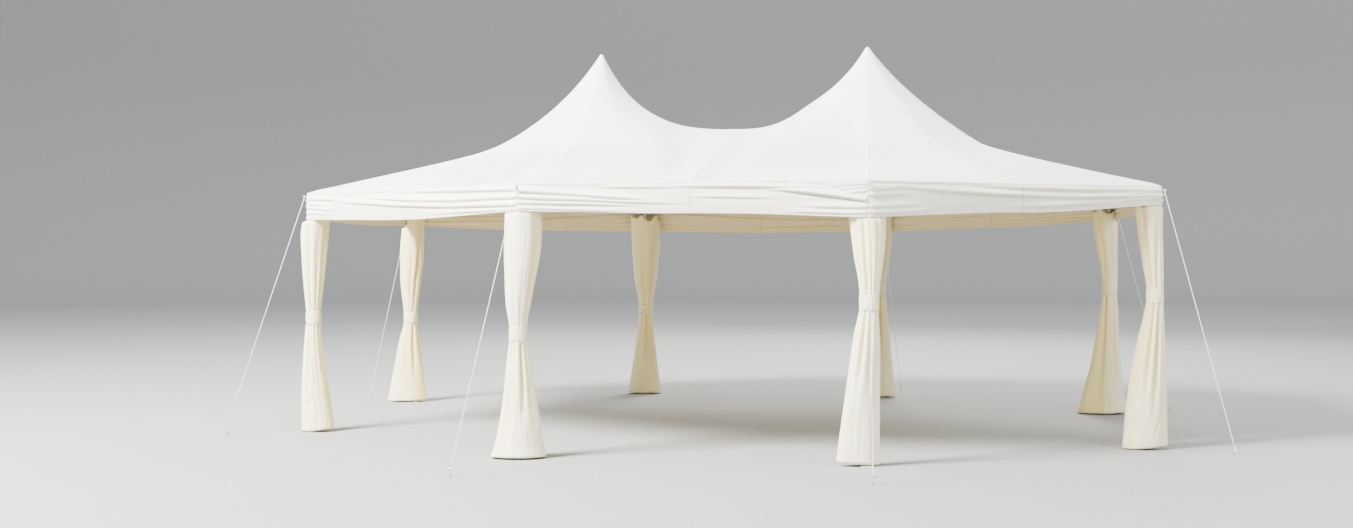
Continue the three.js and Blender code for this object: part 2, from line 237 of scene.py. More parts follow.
class Finish:
    def __init__(self, name, **constants):
        self.material = bpy.data.materials.new(name)
        self.material.use_nodes = True
        self.tree = self.material.node_tree
        self.shader = self.tree.nodes["Principled BSDF"]
        for socket, value in constants.items():
            self.shader.inputs[socket.replace("_", " ")].default_value = value

    def add(self, kind, settings=None, inputs=None, output=0):
        node = self.tree.nodes.new(kind)
        for key, value in (settings or {}).items():
            setattr(node, key, value)
        for key, value in (inputs or {}).items():
            self.plug(node.inputs[key], value)
        return Link(self, node.outputs[output])

    def plug(self, socket, value):
        if isinstance(value, Link):
            self.tree.links.new(value.socket, socket)
        else:
            socket.default_value = (*value, 1) if isinstance(value, tuple) else value

    def mixed(self, share, first, second):
        return self.add("ShaderNodeMix", {"data_type": "RGBA"}, {0: share, 6: first, 7: second}, 2)

    def grain(self, scale, detail=2, rough=0.5, at=None):
        place = at or self.add("ShaderNodeTexCoord", output=3)
        return self.add("ShaderNodeTexNoise", inputs={"Vector": place, "Scale": scale, "Detail": detail,
                                                      "Roughness": rough})

    def clothPlace(self):  # across and along the cloth, in metres
        uv = self.add("ShaderNodeUVMap", {"uv_map": "cloth"})
        across = self.add("ShaderNodeSeparateXYZ", inputs={0: uv})
        return uv, across, Link(self, across.socket.node.outputs[1])

    def shade(self):
        return self.add("ShaderNodeAttribute", {"attribute_name": "shade"}, output=2)

    def done(self, color, rough, height):
        self.plug(self.shader.inputs["Base Color"], color)
        self.plug(self.shader.inputs["Roughness"], rough)
        bump = self.add("ShaderNodeBump", inputs={"Height": height, "Distance": 1.0, "Strength": 1.0})
        self.plug(self.shader.inputs["Normal"], bump)
        return self.material


def darker(color, share):
    return tuple(c * share for c in color)


def clothFinish(name, pale, shadeColor, hem=None, crumple=1.0, seam=None, edges=None):
    # Plain-woven polyester: a fine weave, slack threads, a soft crumple, a stitched hem,
    # seams that cross it every so many metres, and rows of stitches along two edges
    finish = Finish(name, Sheen_Weight=0.12, Sheen_Roughness=0.5, Specular_IOR_Level=0.3)
    uv, across, along = finish.clothPlace()
    threads = 2 * pi / weaveStep
    weave = (across * threads).sine() * (along * threads).sine()
    slub = finish.grain(260, 2, 0.6, uv)
    soft = finish.grain(9, 4, 0.55)
    cloud = finish.grain(1.3, 2)
    height = weave * 0.00004 + slub * 0.00012 + soft * 0.0016 * crumple
    # painted shade: the shade attribute mixes the pale colour towards the shade colour
    tone = finish.mixed(finish.shade(), pale, shadeColor)
    color = finish.mixed((cloud - 0.45) * 0.5 + (slub - 0.5) * 0.25, tone, darker(shadeColor, 0.93))

    def stitches(away, run, near, far):  # a row of them on the line that away is measured from
        stitch = (run * (2 * pi / stitchStep)).sine().wave(-0.2, 0.3)
        return (1 - away.size().wave(near, far)) * stitch

    if hem:
        row = stitches(along - hem, across, 0.0007, 0.0016)
        folded = 1 - along.wave(hem - 0.0005, hem + 0.0015)
        height = height + folded * 0.0007 - row * 0.0008
        color = finish.mixed(row * 0.35, color, darker(shadeColor, 0.7))
    if seam:
        away = (0.5 - ((across * (1 / seam)).fraction() - 0.5).size()) * seam
        row = stitches(away - 0.007, along, 0.0006, 0.0014)
        join = 1 - away.wave(0.0008, 0.0022)
        height = height + (1 - away.wave(0.007, 0.0085)) * 0.0006 - row * 0.0006 - join * 0.001
        color = finish.mixed(join * 0.8 + row * 0.4, color, darker(shadeColor, 0.5))
    if edges:
        row = stitches((across - edges / 2).size() - edges * 0.3, along, 0.0005, 0.0012)
        height = height - row * 0.0008
        color = finish.mixed(row * 0.4, color, darker(shadeColor, 0.6))
    return finish.done(color, 0.72 + slub * 0.16, height)


def steelFinish(name, color, rough, metal=0.0):
    finish = Finish(name, Metallic=metal, Coat_Weight=0.15 if metal < 0.5 else 0.0)
    peel = finish.grain(420, 2)
    cloud = finish.grain(6, 4, 0.6)
    tone = finish.mixed(cloud.wave(0.45, 0.8) * 0.6, color, darker(color, 0.8))
    return finish.done(tone, rough + cloud * 0.18, peel * 0.00012 + cloud * 0.0002)


def ropeFinish(name, color):
    finish = Finish(name, Sheen_Weight=0.2)
    across, along = finish.clothPlace()[1:]
    fibre = ((across * 2 + along * 900) * 2.2).sine()
    fuzz = finish.grain(900, 2)
    tone = finish.mixed(fibre * 0.2 + fuzz * 0.5, color, darker(color, 0.72))
    return finish.done(tone, 0.8 + fuzz * 0.1, fibre * 0.00008 + fuzz * 0.0002)


valanceSeams = {"hem": 0.022, "seam": sideLength / 2}
# The second colour of each cloth is painted shade, which the shade attribute mixes in
roofCloth = clothFinish("roof_cloth", (0.90, 0.90, 0.885), (0.72, 0.715, 0.69), crumple=0.6)
seamCloth = clothFinish("seam_cloth", (0.97, 0.97, 0.955), (0.90, 0.895, 0.87), edges=seamWidth)
# painted light: the cover's inner face is a warm beige for the shade under the roof and the light through the
# thin cloth
roofInsidePaintedLight = clothFinish("roof_inside_painted_light", (0.84, 0.74, 0.48), (0.80, 0.69, 0.42), crumple=0.6)
valanceCloth = clothFinish("valance_cloth", (0.93, 0.912, 0.81), (0.62, 0.565, 0.42), **valanceSeams)
# painted light: the valance's inner face is a warm beige for the shade under the roof and the light through
# the cloth
valanceInsidePaintedLight = clothFinish("valance_inside_painted_light", (0.84, 0.71, 0.41), (0.76, 0.62, 0.33), **valanceSeams)
curtainCloth = clothFinish("curtain_cloth", (0.90, 0.863, 0.66), (0.87, 0.725, 0.30), hem=0.03)
# painted light: the curtains' inner faces are a warm beige for the shade inside them and the light through
# the cloth
curtainInsidePaintedLight = clothFinish("curtain_inside_painted_light", (0.82, 0.75, 0.52), (0.76, 0.68, 0.45), hem=0.03)
tieCloth = clothFinish("tie_cloth", (0.89, 0.853, 0.67), (0.85, 0.71, 0.31))
frameSteel = steelFinish("frame_steel", (0.74, 0.74, 0.72), 0.34)
pegSteel = steelFinish("peg_steel", (0.55, 0.54, 0.51), 0.42, 0.85)
fittingSteel = steelFinish("fittings", (0.30, 0.29, 0.28), 0.35, 0.9)
guyRope = ropeFinish("guy_rope", (0.80, 0.78, 0.70))
print("materials made")


# Round pieces
def sweptPiece(name, path, radii, sides=16, capped=True, twist=0.0, lobes=0, lobeDepth=0.0):
    # a tube through points, with a radius at each
    path = [Vector(p) for p in path]
    last = len(path) - 1
    lengths = [0]
    for a, b in zip(path, path[1:]):
        lengths.append(lengths[-1] + (b - a).length)
    ways = [(path[min(i + 1, last)] - path[max(i - 1, 0)]).normalized() for i in range(last + 1)]
    side = ways[0].orthogonal().normalized()
    frames = []
    for way in ways:
        side = (side - way * side.dot(way)).normalized()
        frames.append((side.copy(), way.cross(side)))

    def place(u, v):
        i = round(v * last)
        turn = 2 * pi * u
        radius = radii[i] * (1 + lobeDepth * cos(lobes * turn + twist * lengths[i]))
        return around(path[i], *frames[i], radius, turn), (u, lengths[i]), 0.0

    def close(bm):
        bmesh.ops.remove_doubles(bm, verts=bm.verts, dist=0.00001)
        if capped:
            bmesh.ops.holes_fill(bm, edges=[e for e in bm.edges if e.is_boundary], sides=sides + 2)
        bmesh.ops.recalc_face_normals(bm, faces=bm.faces)

    return gridPiece(name, sides, last, place, extra=close)


def joined(name, pieces):
    bm = bmesh.new()
    for piece in pieces:
        absorb(bm, piece)
    return finishMesh(bm, name)


def hoop(centre, across, over, radius, wire, steps=18, sides=8):
    path = [around(centre, across, over, radius, 2 * pi * k / steps) for k in range(steps + 1)]
    return sweptPiece("hoop", path, [wire] * (steps + 1), sides, capped=False)


# Roof cover
roof = {
    "flatsApex": 2.61,  # where the flat panels of one peak would meet
    "saddle": 2.58,
    "saddleBend": 0.08,
    "tip": 0.01,
    "soften": 0.05,  # how widely a crest is rounded
    "sag": 0.016,
    "fold": 0.011,  # radius of the turn over the eave
    "foldDrop": 0.012,
    "eaveSlope": radians(14),
    "eaveColumns": 248,  # on one half's four sides
    "valleyColumns": 56,
    "crowding": 0.5,  # how much closer the columns stand at a corner
    "foldRows": 9,
    "slopeRows": 40,
    "slopeRows": 40,
    "thickness": 0.0016,
    "seamSteps": 64,
    "seamRise": 0.0012,
}
# A spire falls with a slope, and plunges by a drop within a reach of its mast. The last number is
# how softly it turns into the panels. It has another set towards the other peak.
peaks = [
    {"x": 1.18, "height": 3.272, "outer": (0.68, 0.24, 0.34, 0.1), "inner": (0.46, 0.35, 0.28, 0.14)},
    {"x": -1.18, "height": 3.262, "outer": (0.5, 0.46, 0.45, 0.07), "inner": (0.28, 0.56, 0.3, 0.13)},
]


def valleyHeight(y):
    bend = roof["saddleBend"]
    sink = (hypot(y, bend) - bend) / (hypot(halfWidth, bend) - bend)
    return mix(roof["saddle"], eaveHeight, sink)


def rayReach(peak, wayX, wayY):  # how far a ray from the peak runs, the height there, and its panel's middle
    best, found = 99, None
    for side in range(8):
        facing = sideNormals[side].x * wayX + sideNormals[side].y * wayY
        if facing > 1e-6:
            reach = (sideReach[side] - sideNormals[side].x * peak["x"]) / facing
            if reach < best:
                best, found = reach, side
    if wayX * peak["x"] < 0:
        reach = -peak["x"] / wayX
        if reach < best:
            return reach, valleyHeight(wayY * reach), 0
    edge = Vector((peak["x"] + wayX * best, wayY * best, 0))
    share = (edge - corners[found]).dot(sideWays[found]) / sideLength
    return best, eaveHeight, sin(pi * (share * 2 % 1))  # a seam runs to the middle of each side


def plainRoof(x, y):
    peak = peaks[0] if x >= 0 else peaks[1]
    distance = hypot(x - peak["x"], y)
    if distance < 1e-5:
        return peak["height"], distance, 1
    wayX, wayY = (x - peak["x"]) / distance, y / distance
    reach, edge, middle = rayReach(peak, wayX, wayY)
    q = min(distance / reach, 1.2)
    run = max(distance - roof["tip"], 0)
    toOther = smooth(0, 0.9, -wayX * copysign(1, peak["x"]))
    slope, drop, curl, blend = [mix(*pair, toOther) for pair in zip(peak["outer"], peak["inner"])]
    spire = peak["height"] - slope * run - drop * (1 - exp(-run / curl))
    flat = roof["flatsApex"] + (edge - roof["flatsApex"]) * q
    height = (spire + flat + hypot(spire - flat, blend)) / 2
    height = mix(height, edge, smooth(mix(0.97, 0.4, toOther), 1, q))
    return height - roof["sag"] * middle * 4 * q * (1 - q) * (q < 1), distance, q


def roofHeight(x, y):  # with crests and the valley rounded
    height, distance, q = plainRoof(x, y)
    radius = roof["soften"] * smooth(0.02, 0.5, distance) * (smooth(1.0, 0.9, q) if abs(x) > 0.3 else 1)
    inside = min(reach - normal.x * x - normal.y * y for reach, normal in zip(sideReach, sideNormals))
    radius = min(radius, max(inside, 0))
    if radius < 0.002:
        return height
    total = height * 2
    for k in range(6):
        turn = pi * (k + 0.5) / 3
        total += plainRoof(x + radius * cos(turn), y + radius * sin(turn))[0]
    return total / 8


def eaveWave(s):  # how the fold over the eave wanders up and down, and in and out
    calm = smooth(0, 0.12, cornerDistance(s))
    lift = 0.0035 * wobble(s * 1.7, 3.1, 0) + 0.002 * wobble(s * 6, 1.7, 0)
    bulge = 0.004 * wobble(s * 2.3, 8.2, 0) + 0.002 * wobble(s * 9, 5.4, 0)
    return lift * calm, bulge * calm + 0.003 * calm


def roofWrinkle(s, q):  # pulls that run in from the eave, strongest near the corners
    away = cornerDistance(s)
    pull = exp(-away / 0.3) * smooth(0.5, 0.97, q)
    fine = 0.005 * wobble(s * 9, q * 1.5, 2.2) + 0.003 * wobble(s * 22, q * 2, 7.7)
    long = 0.0035 * wobble(s * 3.4, q * 1.2, 4.4) * smooth(0.35, 0.8, q)
    return fine * pull + long


def roofSpot(s, end, peak, share, pulled=1.0):  # a point of the cover, a share of the way to its edge
    flat = Vector((peak["x"], 0, 0)).lerp(end, share)
    z = roofHeight(flat.x, flat.y)
    z += 0.003 * wobble(flat.x * 1.9, flat.y * 1.9, 9) * smooth(0, 0.2, share)
    if pulled > 0:
        lift, bulge = eaveWave(s)
        nearEave = smooth(0.9, 1, share)
        z += (lift * nearEave + roofWrinkle(s, share)) * pulled
        flat += outlineAt(s)[1] * (bulge * nearEave * pulled)
    flat.z = z
    return flat


def eaveInset(s):  # the fold's radius, and how far in from the eave it begins
    radius = roof["fold"] * (1 + 0.35 * wobble(s * 2.9, 0.4, 6))
    return radius, radius * (1 - sin(roof["eaveSlope"]))


def slopeEnd(s):  # where the slope ends and the fold over the eave begins
    point, out = outlineAt(s)
    return point - out * eaveInset(s)[1]


def crowded(t, amount):  # from 0 to 1, closer together at both ends
    return t - amount * sin(2 * pi * t) / (2 * pi)


def eaveLength(sides):  # a length round the eave, with the columns closer together at each corner
    side = floor(sides + 1e-9)
    return (side + crowded(sides - side, roof["crowding"])) * sideLength


def makeRoof():
    bm = bmesh.new()
    columns = roof["eaveColumns"] + roof["valleyColumns"]
    front, back = [slopeEnd(sides * sideLength) for sides in (1.5, 5.5)]
    for half, peak in enumerate(peaks):
        def place(u, v):
            column = round(u * columns)
            share = mix(v ** 1.6, 1 - (1 - v) ** 1.8, v)
            pulled = 1
            if column <= roof["eaveColumns"]:
                s = eaveLength(1.5 + 4 * half + 4 * column / roof["eaveColumns"]) % perimeter
                end = slopeEnd(s)
            else:
                w = (column - roof["eaveColumns"]) / roof["valleyColumns"]
                end = front.lerp(back, 1 - w if half == 0 else w)
                s = (1.5 if end.y < 0 else 5.5) * sideLength
                pulled = smooth(1.6, 2.5, abs(end.y))
            spot = roofSpot(s, end, peak, share, pulled)
            reach = (end - Vector((peak["x"], 0, 0))).length
            # painted light: thin cloth lets light through, so the shade attribute makes it brighter up the
            # spires and along the crests, darker on the lower flats, and patchy in broad random areas
            glowAndShade = 0.12 + 0.5 * smooth(0.1, 0.75, share) - 0.3 * bell(cornerDistance(s) * share, 0.13)
            glowAndShade += 0.6 * wobble(spot.x * 1.1, spot.y * 1.1, 2.5)
            return spot, (s + column * 0.001, share * reach), min(max(glowAndShade, 0), 1)

        absorb(bm, gridPiece("roof_half", columns, roof["slopeRows"], place))

    def foldPlace(u, v):
        sides = 1.5 + 8 * u
        s = eaveLength(sides) % perimeter
        half = 0 if sides < 5.5 - 1e-6 else 1
        out = outlineAt(s)[1]
        rim = roofSpot(s, slopeEnd(s), peaks[half], 1)
        radius = eaveInset(s)[0]
        slope = roof["eaveSlope"]
        turn = v * 1.3
        angle = mix(slope, pi / 2, min(turn, 1))
        drop = max(turn - 1, 0) / 0.3 * roof["foldDrop"]
        spot = rim + out * (radius * (sin(angle) - sin(slope)))
        spot.z += radius * (cos(angle) - cos(slope)) - drop
        return spot, (s, 3 + radius * angle + drop), 0.45

    absorb(bm, gridPiece("roof_fold", 2 * roof["eaveColumns"], roof["foldRows"], foldPlace))
    bmesh.ops.remove_doubles(bm, verts=bm.verts, dist=0.0001)
    bmesh.ops.recalc_face_normals(bm, faces=bm.faces)
    piece = finishMesh(bm, "roof_cover_cloth", roof["thickness"])
    dressed(piece, "roof_cloth", roofCloth, roofInsidePaintedLight, replaces=["roof_cover"])

    # Felled seams: down each crest, down the middle of each panel, and along the valley
    bm = bmesh.new()
    for half, peak in enumerate(peaks):
        for step in range(7):
            seamStrip(bm, 2 + 4 * half + step * 0.5, peak, peak["x"])
        seamStrip(bm, 1.5 + 4 * half, peak, 0)
    bmesh.ops.recalc_face_normals(bm, faces=bm.faces)
    seams = finishMesh(bm, "roof_seams")
    dressed(seams, "roof_cloth", seamCloth, replaces=["roof_cover"])


def seamStrip(bm, sides, peak, startX):  # from the peak or the saddle, to so many sides round the eave
    s = sides * sideLength % perimeter
    end = slopeEnd(s)
    start = Vector((startX, 0, 0))
    centre = Vector((peak["x"], 0, 0))
    across = (end - start).normalized().cross(up)
    reach = (end - centre).length

    def place(u, v):
        flat = start.lerp(end, mix(0.004, 0.999, v ** 1.3))
        flat += across * (seamWidth / 2 * (2 * u - 1) * min(1, 0.25 + v * 12))
        spot = roofSpot(s, flat, peak, 1, 0)
        along = (flat - centre).length / reach if startX else abs(flat.y) / abs(end.y)
        spot.z += eaveWave(s)[0] * smooth(0.9, 1, along) + roofWrinkle(s, along)
        spot.z += roof["seamRise"] * min(1, 4 * u, 4 * (1 - u)) ** 0.5
        return spot, (u * seamWidth, v * reach), 0.3

    absorb(bm, gridPiece("seam", 6, roof["seamSteps"], place))


makeRoof()
print("roof cover made")

# Valance
valance = {
    "hems": [1.762, 1.782, 1.727, 1.845, 1.800, 1.723, 1.731, 1.770],  # at the corners, as legNames
    "middles": [1.741, 1.759, 1.772, 1.800, 1.745, 1.715, 1.735, 1.752],  # half way to the next corner
    "top": 1.977,
    "columns": 560,
    "rows": 60,
    "crowding": 0.6,
    "ridge": (0.024, 0.007),  # how softly a fold rises from above, and how sharply it turns under
    "under": 0.6,  # share of its depth that the cloth goes back in below a fold
    "billow": 0.008,
    "sway": 0.007,
    "hemStep": (0.021, 0.024, 0.0009),  # where the hem's turned cloth ends, and how thick it is
    "tuckedIn": 0.0035,  # how far the top lies in under the roof's fold
    "creases": [0.5, 0.7, 1.3, 0.8, 0.7, 0.9, 0.7, 0.8],  # how deep they run out of each corner's eyelet
    "thickness": 0.0014,
}
# Folds are (start, end, level at the start, level at the end, depth, bow). Start, end and depth are
# metres, along the side and out of it, and a level is 0 at the hem and 1 at the eave.
leftFolds = [
    (0.15, 2.5, 0.76, 0.24, 0.012, -0.05), (0.6, 2.5, 0.84, 0.52, 0.012, -0.08),
    (1.1, 2.5, 0.95, 0.8, 0.009, 0), (1.5, 2.5, 0.16, 0.08, 0.007, 0), (0, 0.5, 0.8, 0.74, 0.008, 0),
    (0, 0.4, 0.62, 0.52, 0.007, 0), (0, 0.45, 0.45, 0.34, 0.007, 0), (0, 0.35, 0.27, 0.2, 0.006, 0)]
frontFolds = [
    (0, 1.05, 0.76, 0.42, 0.016, 0), (0, 1.3, 0.52, 0.3, 0.011, 0), (0, 1.0, 0.31, 0.27, 0.009, 0),
    (0, 0.9, 0.1, 0.06, 0.007, 0), (0.55, 1.2, 0.9, 0.83, 0.009, 0), (1.0, 2.4, 0.87, 0.8, 0.008, 0.03),
    (1.2, 1.95, 0.56, 0.5, 0.007, 0), (1.75, 2.5, 0.8, 0.46, 0.015, 0.04), (2.2, 2.5, 0.95, 0.97, 0.006, 0),
    (2.22, 2.5, 0.86, 0.93, 0.007, 0), (2.26, 2.5, 0.75, 0.86, 0.007, 0), (2.3, 2.5, 0.64, 0.74, 0.006, 0),
    (2.0, 2.5, 0.28, 0.27, 0.009, 0), (1.9, 2.5, 0.1, 0.11, 0.006, 0)]
rightFolds = [
    (0.05, 2.5, 0.92, 0.54, 0.013, -0.11), (0.7, 2.5, 0.95, 0.84, 0.009, -0.03),
    (0, 0.35, 0.6, 0.66, 0.006, 0), (0, 0.5, 0.3, 0.34, 0.008, 0), (1.0, 2.4, 0.24, 0.3, 0.008, 0),
    (2.15, 2.5, 0.7, 0.73, 0.006, 0), (2.1, 2.5, 0.38, 0.4, 0.006, 0), (0, 0.6, 0.13, 0.16, 0.006, 0),
    (0, 0.3, 0.78, 0.84, 0.006, 0)]


def hemHeight(s):
    side, along = sideAt(s)
    t = along / sideLength
    corner = valance["hems"][side if t < 0.5 else (side + 1) % 8]
    away = min(t, 1 - t) * 2
    return mix(corner, valance["middles"][side], smooth(0, 1, away ** 0.8)) + 0.002 * wobble(s * 3, 0.5, 0.5)


def hiddenFolds(side):  # the sides that the front view doesn't show fold in the same ways, by chance
    draw = random.Random(40 + side)
    folds = []
    for start, end, first, last, depth, bow in [leftFolds, frontFolds, rightFolds][side % 3]:
        first += draw.uniform(-0.06, 0.06)
        last += draw.uniform(-0.06, 0.06)
        depth *= draw.uniform(0.8, 1.2)
        if side % 2:
            start, end, first, last = sideLength - end, sideLength - start, last, first
        folds.append((start, end, first, last, depth, bow))
    return folds


folds = [leftFolds, frontFolds, rightFolds] + [hiddenFolds(side) for side in range(3, 8)]


def foldDepth(s, h, height):
    side, along = sideAt(s)
    softSide, sharpSide = valance["ridge"]
    total = 0
    for number, (start, end, first, last, depth, bow) in enumerate(folds[side]):
        t = (along - start) / (end - start)
        if not 0 <= t <= 1:
            continue
        level = mix(first, last, t) + bow * 4 * t * (1 - t)
        x = h - (level * height + 0.004 * wobble(along * 2.5, number * 9, side))
        fadeIn = 1 if start < 0.02 else smooth(0, 0.35, t)
        fadeOut = 1 if end > sideLength - 0.06 else smooth(1, 0.55, t)
        ridge = bell(x, softSide if x > 0 else sharpSide)
        under = bell(x + 2.2 * sharpSide, 1.3 * sharpSide)
        vary = 0.8 + 0.5 * wobble(along * 1.6, number * 5, side + 3)
        total += 1.5 * depth * vary * fadeIn * fadeOut * (ridge - valance["under"] * under)
    return total


def creaseDepth(s, h, hem):  # short creases that run out of a corner's eyelet
    nearest = round(s / sideLength)
    along = s - nearest * sideLength
    rise = hem + h - lugHeight
    reach = hypot(along, rise)
    turn = atan2(rise, along)
    spoke = cos(15 * turn + 2.2 * wobble(turn, nearest * 3, 8) + nearest)
    deep = 0.004 * valance["creases"][nearest % 8] * smooth(0.01, 0.05, reach) * exp(-reach / 0.1)
    return deep * max(spoke, -0.2)


def makeValance():
    hemStart, hemEnd, thick = valance["hemStep"]

    def place(u, v):
        sides = 8 * u
        side = floor(sides + 1e-9)
        s = (side + crowded(sides - side, valance["crowding"])) * sideLength
        point, out = outlineAt(s)
        away = cornerDistance(s)
        calm = smooth(0, 0.05, away)
        hem = hemHeight(s)
        lift, bulge = eaveWave(s)
        height = valance["top"] - hem
        h = v * height
        billow = valance["billow"] * sin(pi * min(v * 1.1, 1)) * smooth(0, 0.5, away)
        sway = valance["sway"] * (1 - v) * wobble(s * 1.3, 4.4, 1) * calm
        fold = foldDepth(s, h, height) * smooth(0, 0.06, v) * smooth(1, 0.93, v) * smooth(-0.01, 0.03, away)
        fold += creaseDepth(s, h, hem) * smooth(0, 0.1, v) * smooth(1, 0.9, v)
        offset = billow + sway + fold
        offset += 0.0022 * wobble(s * 7, h * 22, 3) * calm + 0.0012 * wobble(s * 15, h * 60, 5)
        offset += bulge * smooth(0.6, 1, v) + thick * smooth(hemEnd, hemStart, h)
        offset -= valance["tuckedIn"] * smooth(0.9, 1, v)
        spot = point + out * offset
        spot.z = hem + h + lift * smooth(0.5, 1, v)
        # painted shade: darker in the hollows under the folds, lighter on their ridges, and a little darker
        # towards the hem
        return spot, (s, h), min(max(0.32 - 0.15 * v - 85 * fold, 0), 1)

    piece = gridPiece("valance_band", valance["columns"], valance["rows"], place, closed=True,
                      thickness=valance["thickness"])
    dressed(piece, "valance_cloth", valanceCloth, valanceInsidePaintedLight, replaces=["valance"])


makeValance()
print("valance made")

# Leg curtains. Each shape is (height, left edge, right edge) off the leg in mm, seen from the front.
# A valley is (turn at the tie, turn at its far end, depth in mm, how far it runs, width). Turns and
# widths are degrees, from the front to the right. The ups run to the top and the downs to the hem.
# A dent is (first turn, last turn, height at the first, height at the last, depth in mm).
yaw = radians(9.21)  # the turn of the view that the curtains' folds are given from
toRight = Vector((cos(yaw), sin(yaw), 0))
toFront = Vector((sin(yaw), -cos(yaw), 0))
curtain = {
    "columns": 150,
    "rows": 100,
    "thickness": 0.0014,
    "hookHeight": 1.905,
    "tieHeight": 0.105,
    "legRoom": 0.023,
    "flat": (1.0, 1.85),
    "backPleats": (104, 21),  # the first turn and the step of the pleats round the back
    "gathers": 19,  # small tucks that run out of the band
    "gatherDepth": 0.0075,
    "gatherReach": 0.13,
    "ruffles": (21, 0.01, 0.11),  # tucks under the hooks: how many, how deep and how far they run
    "waist": 0.003,  # how far the band draws the cloth in
    "wobbles": [(0.003, 2.2, 1.6, 7), (0.003, 6, 1.5, 3), (0.0012, 7, 11, 3)],  # depth, scales, shift
    "leastDeep": 0.052,  # half of how deep a sleeve is at least, from front to back
    "slack": 0.055,  # how far its top hangs inward of the leg
    "hookPull": (0.016, 0.09),  # how far in the cloth goes between two hooks, and how far down
    "hemWave": 0.004,
    "offGround": 0.006,
    "inValance": (0.036, 0.3),  # how far out it may stand, inside the valance and below it
    "band": {"length": 0.42, "spare": 0.0025, "columns": 108, "rows": 14, "thickness": 0.0018},
    "ring": 0.0085,
    "railRing": 0.0165,
    "wire": 0.0014,
    "cord": (0.0013, 0.0075, 0.004),  # radius, height over the rings' middles, and dip between them
    "snapDrop": 0.03,
    "snap": [(0, 0.0001), (0.0004, 0.0062), (0.0022, 0.006), (0.0032, 0.0045), (0.0036, 0.0001)],
}
